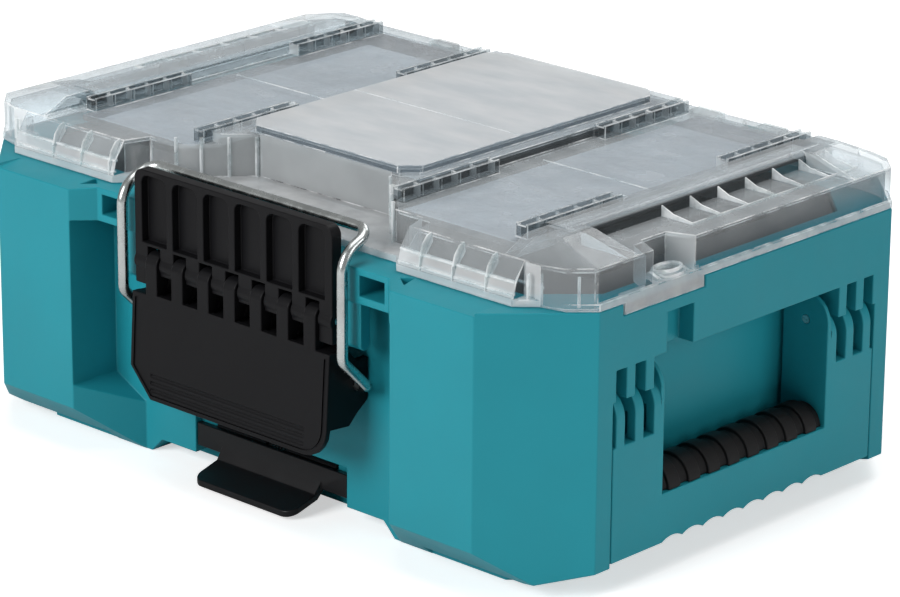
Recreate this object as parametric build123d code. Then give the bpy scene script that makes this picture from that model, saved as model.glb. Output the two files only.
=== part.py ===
from build123d import *
import math
import os

# Saw blade storage case: a moulded case with a clear lid, a front wire latch,
# a fold-out side handle and a foot latch that locks it to the box below.
# Origin: centre of the footprint, on the ground. +X towards the handle side,
# -Y towards the latch side, +Z up. Millimetres.

# ---- case ----
CASE_WIDTH = 378.0
CASE_DEPTH = 276.0
RIM_TOP = 131.3
CORNER_CHAMFER = 37.6
WALL = 3.0
FRONT_FOOT = 22.3
CORNER_FOOT = 12.0
SIDE_FOOT = 13.8
PEDESTAL_STEP = 5.0
SHOULDER_DROP = 1.6
SHOULDER_WIDTH = 15.5
PEDESTAL_SIDE_SETBACK = 27.0
PEDESTAL_FRONT_SETBACK = 28.0
PEDESTAL_CHAMFER = 16.0
RIM_SIDE_WIDTH = 16.0
RIM_FRONT_WIDTH = 33.5
RIM_OPENING_CHAMFER = 24.0

# ---- front recess, rim beam and foot window ----
RECESS_WIDTH = 204.6
BEAM_DROP = 16.8
BEAM_SETBACK = 9.5
BEAM_POCKET = (15.0, 18.0, 9.5)
BEAM_POCKET_INNER = 75.0
BEAM_NOTCH_HEIGHT = 3.5
BEAM_NOTCH = ((96.4, 13.1), (101.7, 17.3), (103.0, 8.4))
LUG_INNER = 65.8
LUG_WIDTH = 9.0
LUG_DEPTH = 6.0
LUG_DROP = 39.3
LUG_SETBACK = 1.2
WEDGE_REACH = 20.0
WEDGE_LOW = 23.5
WEDGE_HIGH = 33.9
WINDOW_WIDTH = 98.0
WINDOW_HEIGHT = 26.0
WINDOW_DEPTH = 15.0
RELIEF_WIDTH = 158.0
RELIEF_HEIGHT = 7.0
RELIEF_FLARE = 7.0

# ---- latch ----
PLATE_WIDTH = 126.0
PLATE_THICK = 6.0
PLATE_DROP = 19.3
PLATE_RISE = 16.7
PLATE_SKIRT_BOTTOM_DROP = 43.3
PLATE_SKIRT_BEHIND = 3.7
PLATE_SKIRT_THICK = 2.0
PLATE_SKIRT_INSET = 3.8
PLATE_END_DROP = 37.8
PLATE_POCKETS = 6
PLATE_POCKET_PITCH = 20.1
PLATE_POCKET_WIDTH = 16.0
PLATE_POCKET_DEPTH = 4.2
PLATE_BORDER = 2.5
PLATE_POCKET_CORNER = 4.0
PLATE_POCKET_SILL = 1.5
PLATE_SEAT_DEPTH = 1.5
FINGERS = 7
FINGER_PITCH = 16.9
FINGER_WIDTH = 7.4
FINGER_GAP = 0.4
KNUCKLE_DROP = 27.3
KNUCKLE_BEHIND_FRONT = 8.5
KNUCKLE_RADIUS = 4.5
FINGER_RADIUS = 5.5
KNUCKLE_PIN_RADIUS = 1.6
LEVER_WIDTH = 126.4
LEVER_TOP_DROP = 41.0
LEVER_BOTTOM_DROP = 91.0
LEVER_THICK = 3.0
LEVER_LEAN = 3.0
LEVER_CORNER = 13.7
LEVER_GROOVES = 3
LEVER_GROOVE_PITCH = 3.4
LEVER_GROOVE_START = 5.0
LEVER_GROOVE_RADIUS = 1.2
LEVER_SHOULDER_DROP = 41.7
LEVER_WEB_DEPTH = 10.0
LEVER_WEB_THICK = 2.0
LEVER_RIB = 2.4
LEVER_RIB_DEPTH = 12.0
CHEEK_THICK = 3.2
CHEEK_SHOULDER_DROP = 48.3
CHEEK_HEEL_DROP = 68.3
CHEEK_FOOT_DROP = 77.3
CHEEK_BEHIND_PIVOT = 6.9
CHEEK_RISE = 5.0
WIRE_RADIUS = 2.5
BAIL_HALF_WIDTH = 70.2
BAIL_LEG_BEHIND_FRONT = 4.0
BAIL_TOP_BEHIND_FRONT = 22.0
BAIL_RISE = 13.2
BAIL_PIVOT_DROP = 59.8
BAIL_PIVOT_BEHIND_FRONT = 20.5
BAIL_BEND = 8.0
BAIL_LEG_BEND = 6.0
BAIL_SHOULDER_BEND = 13.0
BAIL_END_BEND = 4.0
BAIL_END_REACH = 2.0
PLATE_SCREW_RADIUS = 1.4
PLATE_SCREW_DEPTH = 4.4
PLATE_SCREW_GRIP = 4.0
SCREW_RADIUS = 1.8
SCREW_HEAD_RADIUS = 3.4
SCREW_HEAD_HEIGHT = 2.2

# ---- foot latch ----
FOOT_LATCH_WIDTH = 77.4
FOOT_LATCH_THICK = 3.0
FOOT_LATCH_TOP = 22.0
FOOT_LATCH_BOTTOM = 10.8
FOOT_PLATE_SETBACK = 5.9
FOOT_TAB_WIDTH = 64.0
FOOT_TAB_TOP = 15.0
FOOT_TAB_SLOPE = (3.6, 9.0)
FOOT_TAB_REACH = 19.6
FOOT_TIP_TOP = 4.6
FOOT_TIP_BOTTOM = 1.5
FOOT_TAB_CORNER = 6.0
FOOT_PIVOT_Z = 20.0
FOOT_PIVOT_IN = 6.5
FOOT_BARREL_RADIUS = 3.4
FOOT_PIN_RADIUS = 1.2
FOOT_EAR_RADIUS = 1.8
SPRING_RADIUS = 2.6
SPRING_WIRE = 0.5
SPRING_LENGTH = 12.0

# ---- side handle ----
HANDLE_SPAN = 180.0
HANDLE_OPENING = 113.0
HANDLE_THICK = 9.0
HANDLE_BAR_DEPTH = 24.0
HANDLE_BAR_TOP = 37.0
HANDLE_PLATE_TOP = 67.0
HAND_RECESS_DEPTH = 28.0
LEDGE_DROP = 29.1
HANDLE_PIN_Z = 86.0
HANDLE_PIN_IN = 13.0
HANDLE_PIN_RADIUS = 2.0
HANDLE_CHEEK = 2.4
HANDLE_FINGERS = 3
HANDLE_FINGER_WIDTH = 5.7
HANDLE_FINGER_PITCH = 12.4
HANDLE_FINGER_THICK = 5.0
HANDLE_FIRST_FINGER = 4.0
HANDLE_BOSS_RADIUS = 6.0
TAB_BOTTOM = 88.0
HANDLE_SCALLOPS = 8
HANDLE_SCALLOP_PITCH = 14.0
HANDLE_SCALLOP_DEPTH = 1.8
HANDLE_SCALLOP_RADIUS = 14.0
GRIP_RADIUS = 11.5
GRIP_RIBS = 8
GRIP_RIB_PITCH = 13.6
GRIP_RIB_WIDTH = 8.0
GRIP_VALLEY = 1.6
GRIP_SETBACK = 0.5
SLOT_DEPTH = 8.0
NOTCH_FROM = -55.8
NOTCH_TO = -38.4
NOTCH_DROP = 10.8
NOTCH_DEPTH = 8.5

# ---- lid ----
LID_WALL = 2.4
LID_FLANGE_THICK = 3.4
LID_BAND_RISE = 10.7
LID_BAND_LEAN = 2.5
LID_BAND_SETBACK = 31.0
LID_SIDE_RISE = 19.2
LID_FLANGE_SETBACK = 16.5
LID_FLANGE_INNER = 86.5
LID_LEDGE_SETBACK = 24.8
LID_BODY_SETBACK = 24.5
LID_SIDE_INSET = 1.4
LID_CORNER_SETBACK = 18.0
LID_CORNER_CUT = 10.1
LID_LOBE_SLANT = 4.0
LID_SHOULDER = 9.0
ROOF_INNER_SETBACK = 43.0
ROOF_REACH_SETBACK = 64.0
ROOF_CREST_SETBACK = (26.0, 39.0)
ROOF_CREST_CUT = 5.0
ROOF_RISE = 6.7
LID_NOTCH_OUTER = 60.0
LID_NOTCH_INNER = 42.0
LID_NOTCH_SETBACK = 45.5
LID_NOTCH_DEPTH = 18.5
BLOCK_HALF_WIDTH = 60.0
BLOCK_SETBACK = 6.0
BLOCK_FRONT_SETBACK = 37.2
BLOCK_REAR_SETBACK = 32.0
BLOCK_RISE = 4.9
PANEL_HALF_WIDTH = 53.0
PANEL_FRONT_SETBACK = 64.6
PANEL_REAR_SETBACK = 40.0
PANEL_CORNER = 8.0
PANEL_RISE = 3.6
RIDGE_SETBACK = 29.5
RIDGE_WIDTH = 19.5
RIDGE_FRONT_SETBACK = 53.0
RIDGE_REAR_SETBACK = 50.0
RIDGE_RISE = 7.0
RIDGE_ROUND = 5.0
CLIP_RISE = 6.5
CLIP_WIDTH = 7.0
CLIP_RAIL = 1.4
CLIP_RIBS = 6
CLIP_FRONT_SETBACK = 46.0
CLIP_FRONT_LENGTH = 62.0
CLIP_REAR_SETBACK = 36.0
CLIP_REAR_LENGTH = 60.0
TAB_FROM = -84.0
TAB_TO = -32.0
TAB_DROP = 5.3
TAB_THICK = 4.2
SETBACK_DEPTH = 14.0
SETBACK_MOUTH = (-66.0, -36.0)
SETBACK_THROAT = (-58.0, -42.0)
PAD_THICK = 3.0
HINGE_SETBACK = 7.0
HINGE_RADIUS = 4.5
HINGE_PIN_RADIUS = 2.0
HINGE_START = 60.0
HINGE_KNUCKLE = 16.4
HINGE_GAP = 0.5
HINGE_WEB = 3.4

# ---- insert and spindle ----
INSERT_CLEARANCE = 0.6
INSERT_WALL = 2.5
DECK_DROP = 3.3
DECK_THICK = 3.0
WELL_MARGIN = 7.0
BIN_GAP = 10.5
BIN_WIDTH = 42.0
BIN_LENGTH = 124.0
BIN_FLOOR = 62.0
POST_BASE_RADIUS = 28.0
POST_BASE_THICK = 5.0
POST_RADIUS = 7.8
POST_DROP = 33.3
THREAD_RADIUS = 5.0
THREAD_LENGTH = 15.0
KNOB_RADIUS = 24.0
KNOB_HEIGHT = 20.0
KNOB_LOBES = 8
KNOB_LOBE_RADIUS = 5.0
INSERT_SCREW_CIRCLE = 60.0
INSERT_SCREW_DEPTH = 2.0

# ---- clearances ----
MOVING_GAP = 0.5
RUNNING = 0.05
SEAT_GAP = 0.3

# ---- derived places ----
HALF_WIDTH = CASE_WIDTH / 2
HALF_DEPTH = CASE_DEPTH / 2
PEDESTAL_X = HALF_WIDTH - PEDESTAL_SIDE_SETBACK
PEDESTAL_Y = HALF_DEPTH - PEDESTAL_FRONT_SETBACK
RIM_OPENING_X = HALF_WIDTH - RIM_SIDE_WIDTH
RIM_OPENING_Y = HALF_DEPTH - RIM_FRONT_WIDTH
FACET_X = HALF_WIDTH - CORNER_CHAMFER
RECESS_X = RECESS_WIDTH / 2
BEAM_FRONT = -HALF_DEPTH + BEAM_SETBACK
PLATE_FRONT = BEAM_FRONT - PLATE_THICK + PLATE_SEAT_DEPTH
PLATE_BACK = PLATE_FRONT + PLATE_THICK
KNUCKLE_Y = -HALF_DEPTH + KNUCKLE_BEHIND_FRONT
KNUCKLE_Z = RIM_TOP - KNUCKLE_DROP
BEAM_BOTTOM = RIM_TOP - BEAM_DROP
LUG_BOTTOM = RIM_TOP - LUG_DROP
PLATE_BOTTOM = RIM_TOP - PLATE_DROP
PLATE_TOP = RIM_TOP + PLATE_RISE
PLATE_END_BOTTOM = RIM_TOP - PLATE_END_DROP
LEVER_TOP = RIM_TOP - LEVER_TOP_DROP
LEVER_BOTTOM = RIM_TOP - LEVER_BOTTOM_DROP
LEVER_SHOULDER = RIM_TOP - LEVER_SHOULDER_DROP
CHEEK_SHOULDER = RIM_TOP - CHEEK_SHOULDER_DROP
CHEEK_HEEL = RIM_TOP - CHEEK_HEEL_DROP
CHEEK_FOOT = RIM_TOP - CHEEK_FOOT_DROP
FINGER_XS = [(i - (FINGERS - 1) / 2) * FINGER_PITCH for i in range(FINGERS)]
BAIL_LEG_Y = -HALF_DEPTH + BAIL_LEG_BEHIND_FRONT
BAIL_TOP_Y = -HALF_DEPTH + BAIL_TOP_BEHIND_FRONT
BAIL_PIVOT_Y = -HALF_DEPTH + BAIL_PIVOT_BEHIND_FRONT
BAIL_TOP_Z = RIM_TOP + BAIL_RISE
BAIL_PIVOT_Z = RIM_TOP - BAIL_PIVOT_DROP
FLOOR_Z = WALL
HANDLE_PIN_X = HALF_WIDTH - HANDLE_PIN_IN
HANDLE_BACK = HALF_WIDTH - HANDLE_THICK
OPENING_Y = HANDLE_OPENING / 2
LEDGE_BOTTOM = RIM_TOP - LEDGE_DROP
NOTCH_TOP = RIM_TOP - NOTCH_DROP
FOOT_PIVOT_Y = -PEDESTAL_Y + FOOT_PIVOT_IN
LID_BOTTOM = RIM_TOP + SEAT_GAP
LID_SIDE_X = HALF_WIDTH - LID_SIDE_INSET
LID_BAND_TOP = RIM_TOP + LID_BAND_RISE
LID_BAND_X = HALF_WIDTH - LID_BAND_SETBACK
LID_SIDE_TOP = RIM_TOP + LID_SIDE_RISE
LID_FLANGE_Y = HALF_DEPTH - LID_FLANGE_SETBACK
LID_LEDGE_Y = -HALF_DEPTH + LID_LEDGE_SETBACK
LID_BODY_Y = HALF_DEPTH - LID_BODY_SETBACK
LID_CORNER_X = HALF_WIDTH - LID_CORNER_SETBACK
ROOF_INNER = HALF_WIDTH - ROOF_INNER_SETBACK
ROOF_REACH = HALF_DEPTH - ROOF_REACH_SETBACK
ROOF_CREST = (HALF_WIDTH - ROOF_CREST_SETBACK[0], HALF_DEPTH - ROOF_CREST_SETBACK[1])
ROOF_TOP = LID_SIDE_TOP + ROOF_RISE
LID_NOTCH_FRONT = -HALF_DEPTH + LID_NOTCH_SETBACK
LID_NOTCH_BACK = LID_NOTCH_FRONT + LID_NOTCH_DEPTH
BLOCK_FRONT = -HALF_DEPTH + BLOCK_FRONT_SETBACK
BLOCK_REAR = HALF_DEPTH - BLOCK_REAR_SETBACK
BLOCK_TOP = LID_SIDE_TOP + BLOCK_RISE
PANEL_FRONT = -HALF_DEPTH + PANEL_FRONT_SETBACK
PANEL_REAR = HALF_DEPTH - PANEL_REAR_SETBACK
PANEL_TOP = BLOCK_TOP + PANEL_RISE
RIDGE_OUTER = HALF_WIDTH - RIDGE_SETBACK
RIDGE_INNER = RIDGE_OUTER - RIDGE_WIDTH
RIDGE_FRONT = -HALF_DEPTH + RIDGE_FRONT_SETBACK
RIDGE_REAR = HALF_DEPTH - RIDGE_REAR_SETBACK
RIDGE_TOP = LID_SIDE_TOP + RIDGE_RISE
HINGE_Y = HALF_DEPTH - HINGE_SETBACK
HINGE_Z = RIM_TOP + HINGE_RADIUS + MOVING_GAP
CLIP_XS = (BLOCK_HALF_WIDTH + CLIP_WIDTH / 2, RIDGE_INNER - CLIP_WIDTH / 2)
CLIP_TOP = LID_SIDE_TOP + CLIP_RISE
CLIP_FRONT = (-HALF_DEPTH + CLIP_FRONT_SETBACK,
              -HALF_DEPTH + CLIP_FRONT_SETBACK + CLIP_FRONT_LENGTH)
CLIP_BACK = (HALF_DEPTH - CLIP_REAR_SETBACK - CLIP_REAR_LENGTH, HALF_DEPTH - CLIP_REAR_SETBACK)
DECK_TOP = RIM_TOP - DECK_DROP
POST_TOP = RIM_TOP - POST_DROP
WELL_RADIUS = RIM_OPENING_Y - WELL_MARGIN
BIN_INNER = WELL_RADIUS + BIN_GAP


# ---- shape helpers ----
def block(x_low, x_high, y_low, y_high, z_low, z_high):
    """Rectangular block from its limits."""
    centre = Pos((x_low + x_high) / 2, (y_low + y_high) / 2, (z_low + z_high) / 2)
    return centre * Box(x_high - x_low, y_high - y_low, z_high - z_low)


def prism(points, z_low, z_high):
    """Upright prism on an XY outline."""
    face = make_face(Polyline(*points, close=True))
    return Pos(0, 0, z_low) * extrude(face, z_high - z_low)


def prism_x(points, x_low, x_high):
    """Prism along X on a (y, z) outline."""
    plane = Plane(origin=(x_low, 0, 0), x_dir=(0, 1, 0), z_dir=(1, 0, 0))
    return extrude(plane * make_face(Polyline(*points, close=True)), x_high - x_low)


def prism_y(points, y_low, y_high):
    """Prism along Y on an (x, z) outline."""
    plane = Plane(origin=(0, y_high, 0), x_dir=(1, 0, 0), z_dir=(0, -1, 0))
    return extrude(plane * make_face(Polyline(*points, close=True)), y_high - y_low)


def rod_x(y, z, radius, x_low, x_high):
    """Cylinder along X."""
    return Pos((x_low + x_high) / 2, y, z) * Rot(0, 90, 0) * Cylinder(radius, x_high - x_low)


def rod_y(x, z, radius, y_low, y_high):
    """Cylinder along Y."""
    return Pos(x, (y_low + y_high) / 2, z) * Rot(90, 0, 0) * Cylinder(radius, y_high - y_low)


def rod_z(x, y, radius, z_low, z_high):
    """Cylinder along Z."""
    return Pos(x, y, (z_low + z_high) / 2) * Cylinder(radius, z_high - z_low)


def both_sides(shape):
    """The shape and its mirror image across X = 0."""
    return shape + mirror(shape, Plane.YZ)


def both_ends(shape):
    """The shape and its mirror image across Y = 0."""
    return shape + mirror(shape, Plane.XZ)


def octagon(half_x, half_y, chamfer):
    """Rectangle with four equal corner chamfers."""
    a, b = half_x - chamfer, half_y - chamfer
    return [(half_x, -b), (half_x, b), (a, half_y), (-a, half_y),
            (-half_x, b), (-half_x, -b), (-a, -half_y), (a, -half_y)]


# ---- case body ----
def case_outside():
    """Outer form: corner bastions, pedestal, sloped undersides and front shoulder."""
    upper = prism(octagon(HALF_WIDTH, HALF_DEPTH, CORNER_CHAMFER), PEDESTAL_STEP, RIM_TOP)
    base = prism(octagon(PEDESTAL_X, PEDESTAL_Y, PEDESTAL_CHAMFER), 0, FRONT_FOOT)
    slope = [(-HALF_DEPTH - 1, -1), (-HALF_DEPTH - 1, FRONT_FOOT), (-HALF_DEPTH, FRONT_FOOT),
             (-PEDESTAL_Y, 0), (-PEDESTAL_Y, -1)]
    sill = [(PEDESTAL_X, -1), (PEDESTAL_X, PEDESTAL_STEP), (HALF_WIDTH, CORNER_FOOT),
            (HALF_WIDTH + 1, CORNER_FOOT), (HALF_WIDTH + 1, -1)]
    crest = [(-HALF_DEPTH - 1, RIM_TOP - SHOULDER_DROP), (-HALF_DEPTH, RIM_TOP - SHOULDER_DROP),
             (-HALF_DEPTH + SHOULDER_WIDTH, RIM_TOP), (-HALF_DEPTH - 1, RIM_TOP + 1)]
    body = upper + base
    body -= both_ends(prism_x(slope, -HALF_WIDTH, HALF_WIDTH))
    body -= both_sides(prism_y(sill, -HALF_DEPTH, HALF_DEPTH))
    return body - prism_x(crest, -FACET_X, FACET_X)


def front_recess():
    """Space between the two front bastions, below and in front of the rim beam."""
    below = block(-RECESS_X, RECESS_X, -HALF_DEPTH - 1, -PEDESTAL_Y, -1, BEAM_BOTTOM)
    inner = RECESS_X - BEAM_SETBACK
    ahead = prism([(-RECESS_X, -HALF_DEPTH - 1), (-RECESS_X, -HALF_DEPTH), (-inner, BEAM_FRONT),
                   (inner, BEAM_FRONT), (RECESS_X, -HALF_DEPTH), (RECESS_X, -HALF_DEPTH - 1)],
                  BEAM_BOTTOM - 1, RIM_TOP + 1)
    return below + ahead


def recess_wedge():
    """Sloped block in the foot of the recess, beside each bastion."""
    foot = RECESS_X - WEDGE_REACH
    plan = prism([(RECESS_X, -HALF_DEPTH), (RECESS_X, -PEDESTAL_Y), (foot, -PEDESTAL_Y)],
                 0, WEDGE_HIGH)
    top = prism_y([(foot, 0), (foot, WEDGE_LOW), (RECESS_X, WEDGE_HIGH), (RECESS_X, 0)],
                  -HALF_DEPTH, -PEDESTAL_Y)
    under = prism_x([(-HALF_DEPTH, -1), (-HALF_DEPTH, FRONT_FOOT), (-PEDESTAL_Y, 0),
                     (-PEDESTAL_Y, -1)], foot, RECESS_X)
    return both_sides((plan & top) - under)


def beam_details():
    """Cuts in the rim beam: latch plate seat, square pockets and corner notches."""
    half = PLATE_WIDTH / 2 + SEAT_GAP
    seat = block(-half, half, BEAM_FRONT - 1, PLATE_BACK, BEAM_BOTTOM - 1, RIM_TOP + 1)
    width, depth, height = BEAM_POCKET
    low = (BEAM_BOTTOM + RIM_TOP - height) / 2
    pocket = block(BEAM_POCKET_INNER, BEAM_POCKET_INNER + width, BEAM_FRONT - 1,
                   BEAM_FRONT + depth, low, low + height)
    corners = [(x, -HALF_DEPTH + setback) for x, setback in BEAM_NOTCH]
    notch = prism(corners, RIM_TOP - BEAM_NOTCH_HEIGHT, RIM_TOP + 1)
    return seat + both_sides(pocket + notch)


def beam_lugs():
    """Vertical lugs that hang from the beam on both sides of the latch plate."""
    front = BEAM_FRONT + LUG_SETBACK
    nose = LUG_DEPTH / 2
    lug = block(LUG_INNER, LUG_INNER + LUG_WIDTH, front, front + LUG_DEPTH,
                LUG_BOTTOM + nose, BEAM_BOTTOM + 1)
    lug += rod_x(front + nose, LUG_BOTTOM + nose, nose, LUG_INNER, LUG_INNER + LUG_WIDTH)
    return both_sides(lug)


def case_inside():
    """Hollow of the case, open at the rim."""
    low = prism(octagon(PEDESTAL_X - WALL, PEDESTAL_Y - WALL, PEDESTAL_CHAMFER),
                FLOOR_Z, FRONT_FOOT + WALL + 1)
    high = prism(octagon(HALF_WIDTH - WALL, HALF_DEPTH - WALL, CORNER_CHAMFER - WALL / 2),
                 FRONT_FOOT + WALL, RIM_TOP - WALL)
    mouth = prism(octagon(RIM_OPENING_X, RIM_OPENING_Y, RIM_OPENING_CHAMFER),
                  RIM_TOP - WALL - 1, RIM_TOP + 1)
    keep = block(-RECESS_X - WALL, RECESS_X + WALL, -HALF_DEPTH, -PEDESTAL_Y + WALL,
                 0, RIM_TOP - WALL)
    half = WINDOW_WIDTH / 2 + WALL
    keep += block(-half, half, -PEDESTAL_Y, -PEDESTAL_Y + WINDOW_DEPTH + WALL, 0,
                  WINDOW_HEIGHT + WALL)
    half = RELIEF_WIDTH / 2 + WALL
    keep += block(-half, half, -PEDESTAL_Y, -PEDESTAL_Y + WINDOW_DEPTH + WALL, 0,
                  RELIEF_HEIGHT + WALL)
    side = HANDLE_SPAN / 2 + WALL + MOVING_GAP
    keep += block(HALF_WIDTH - HAND_RECESS_DEPTH - WALL, HALF_WIDTH, -side, side,
                  0, LEDGE_BOTTOM + WALL)
    keep += block(HALF_WIDTH - NOTCH_DEPTH - WALL, HALF_WIDTH, NOTCH_FROM - WALL,
                  NOTCH_TO + WALL, LEDGE_BOTTOM, NOTCH_TOP + WALL)
    return low + high + mouth - keep


def foot_window():
    """Pocket for the foot latch and the relief under the front wall."""
    half = WINDOW_WIDTH / 2
    pocket = block(-half, half, -PEDESTAL_Y - 1, -PEDESTAL_Y + WINDOW_DEPTH, -1, WINDOW_HEIGHT)
    half = RELIEF_WIDTH / 2
    relief = prism_y([(-half, -1), (-half, 0), (-half + RELIEF_FLARE, RELIEF_HEIGHT),
                      (half - RELIEF_FLARE, RELIEF_HEIGHT), (half, 0), (half, -1)],
                     -PEDESTAL_Y - 1, -PEDESTAL_Y + WINDOW_DEPTH)
    return pocket + relief


def foot_lugs():
    """Ears in the foot window that hold the latch pin at both ends."""
    inner = FOOT_LATCH_WIDTH / 2 + MOVING_GAP
    ear = block(inner, WINDOW_WIDTH / 2, FOOT_PIVOT_Y - FOOT_EAR_RADIUS,
                -PEDESTAL_Y + WINDOW_DEPTH, FOOT_PIVOT_Z - FOOT_BARREL_RADIUS, WINDOW_HEIGHT)
    reach = WINDOW_WIDTH / 2 + 1
    return both_sides(ear) - rod_x(FOOT_PIVOT_Y, FOOT_PIVOT_Z, FOOT_PIN_RADIUS, -reach, reach)


def finger_centres():
    """Distances of the handle's hinge fingers from the middle of the case."""
    first = OPENING_Y + HANDLE_FIRST_FINGER
    return [first + i * HANDLE_FINGER_PITCH for i in range(HANDLE_FINGERS)]


def handle_space():
    """Pocket on the +X side: hand recess, frame pocket, finger slots, pins and notch."""
    out = HALF_WIDTH + 1
    side = OPENING_Y + HANDLE_CHEEK + MOVING_GAP
    space = block(HALF_WIDTH - HAND_RECESS_DEPTH, out, -side, side, 0, LEDGE_BOTTOM)
    side = HANDLE_SPAN / 2 + MOVING_GAP
    space += block(HANDLE_BACK - MOVING_GAP, out, -side, side, 0, TAB_BOTTOM)
    back = HANDLE_PIN_X - HANDLE_BOSS_RADIUS - MOVING_GAP
    for centre in finger_centres():
        half = HANDLE_FINGER_WIDTH / 2 + MOVING_GAP
        slot = block(back, out, centre - half, centre + half,
                     HANDLE_PLATE_TOP - SLOT_DEPTH, LEDGE_BOTTOM)
        space += both_ends(slot)
    space += both_ends(rod_y(HANDLE_PIN_X, HANDLE_PIN_Z, HANDLE_PIN_RADIUS,
                             OPENING_Y, HANDLE_SPAN / 2 + 1))
    space += block(HALF_WIDTH - NOTCH_DEPTH, out, NOTCH_FROM, NOTCH_TO, LEDGE_BOTTOM - 1, NOTCH_TOP)
    return space


def tab_rebate():
    """Step in the rim that the lid's side tab drops into."""
    play = 2 * MOVING_GAP
    return block(HALF_WIDTH - TAB_THICK - play, HALF_WIDTH + 1, TAB_FROM - play, TAB_TO + play,
                 LID_BOTTOM - TAB_DROP - SEAT_GAP, RIM_TOP + 1)


def hinge_spans(kind):
    """X limits of the rear hinge knuckles: the lid and the case take turns."""
    first = 0 if kind == "lid" else 1
    step = HINGE_KNUCKLE + HINGE_GAP
    starts = [HINGE_START + (first + 2 * i) * step for i in range(2)]
    return [(start, start + HINGE_KNUCKLE) for start in starts]


def case_hinge_lugs():
    """Lugs on the rear rim that carry the lid's hinge pins."""
    lugs = []
    for low, high in hinge_spans("case"):
        lug = rod_x(HINGE_Y, HINGE_Z, HINGE_RADIUS, low, high)
        lug += block(low, high, HINGE_Y - HINGE_RADIUS, HINGE_Y + HINGE_RADIUS,
                     RIM_TOP - 1, HINGE_Z)
        lugs.append(lug - rod_x(HINGE_Y, HINGE_Z, HINGE_PIN_RADIUS, low - 1, high + 1))
    return both_sides(Part() + lugs)


def plate_screw_places():
    """Centres of the screws that hold the latch plate to the rim beam."""
    z = (BEAM_BOTTOM + RIM_TOP) / 2
    return [(step * PLATE_POCKET_PITCH, z) for step in (-2, -1, 1, 2)]


def plate_screw_holes():
    """Clearance holes for those screws, from behind the beam."""
    holes = []
    inside = -PEDESTAL_Y + WALL + 1
    for x, z in plate_screw_places():
        holes.append(rod_y(x, z, PLATE_SCREW_RADIUS + RUNNING, PLATE_BACK - 1, inside))
        holes.append(rod_y(x, z, SCREW_HEAD_RADIUS + SEAT_GAP, PLATE_BACK + PLATE_SCREW_GRIP,
                           inside))
    return Part() + holes


def insert_screw_holes():
    """Blind holes in the floor for the insert's screws."""
    holes = [rod_z(x, y, SCREW_RADIUS, FLOOR_Z - INSERT_SCREW_DEPTH, FLOOR_Z + 1)
             for x, y in insert_screw_places()]
    return Part() + holes


def case_body():
    """The moulded case."""
    body = case_outside() - front_recess() + recess_wedge() + beam_lugs()
    body -= case_inside()
    body -= foot_window()
    body += foot_lugs()
    body -= handle_space()
    body -= tab_rebate()
    body -= beam_details()
    body -= plate_screw_holes()
    body -= insert_screw_holes()
    body += case_hinge_lugs()
    return body


# ---- latch ----
def rounded_pocket(x, half, y_low, y_high, z_low, z_high, corner):
    """Pocket with rounded upper corners."""
    lower = block(x - half, x + half, y_low, y_high, z_low, z_high - corner)
    upper = block(x - half + corner, x + half - corner, y_low, y_high, z_low, z_high)
    arcs = [rod_y(x + side * (half - corner), z_high - corner, corner, y_low, y_high)
            for side in (-1, 1)]
    return lower + upper + arcs


def latch_plate():
    """Fixed upper plate of the latch with pockets and hinge knuckles."""
    half = PLATE_WIDTH / 2
    plate = block(-half, half, PLATE_FRONT, PLATE_BACK, PLATE_BOTTOM, PLATE_TOP)
    top_edges = plate.edges().filter_by(Axis.Y).group_by(Axis.Z)[-1]
    plate = fillet(top_edges, 2 * PLATE_BORDER)
    first = -(PLATE_POCKETS - 1) / 2 * PLATE_POCKET_PITCH
    for i in range(PLATE_POCKETS):
        plate -= rounded_pocket(first + i * PLATE_POCKET_PITCH, PLATE_POCKET_WIDTH / 2,
                                PLATE_FRONT - 1, PLATE_FRONT + PLATE_POCKET_DEPTH,
                                PLATE_BOTTOM + PLATE_POCKET_SILL, PLATE_TOP - PLATE_BORDER,
                                PLATE_POCKET_CORNER)
    edges = [x + side * (FINGER_WIDTH / 2 + FINGER_GAP) for x in FINGER_XS for side in (-1, 1)]
    limits = [-half] + edges + [half]
    for i in range(0, len(limits), 2):
        low, high = limits[i], limits[i + 1]
        outer = i in (0, len(limits) - 2)
        foot = PLATE_END_BOTTOM if outer else KNUCKLE_Z - KNUCKLE_RADIUS
        plate += block(low, high, PLATE_FRONT, PLATE_BACK, foot, PLATE_BOTTOM + 1)
        plate += rod_x(KNUCKLE_Y, KNUCKLE_Z, KNUCKLE_RADIUS, low, high)
    plate += plate_skirt()
    plate -= rod_x(KNUCKLE_Y, KNUCKLE_Z, KNUCKLE_PIN_RADIUS, -half - 1, half + 1)
    for x, z in plate_screw_places():
        plate -= rod_y(x, z, PLATE_SCREW_RADIUS, PLATE_BACK - PLATE_SCREW_DEPTH, PLATE_BACK + 1)
    return plate


def plate_skirt():
    """Wall behind the knuckles that closes the gaps between the lever's fingers."""
    half = PLATE_WIDTH / 2 - PLATE_SKIRT_INSET
    back = PLATE_BACK + PLATE_SKIRT_BEHIND
    top = BEAM_BOTTOM - SEAT_GAP
    low = RIM_TOP - PLATE_SKIRT_BOTTOM_DROP
    web = block(-half, half, PLATE_BACK - 1, back + PLATE_SKIRT_THICK, PLATE_BOTTOM, top)
    return web + block(-half, half, back, back + PLATE_SKIRT_THICK, low, top)


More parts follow.
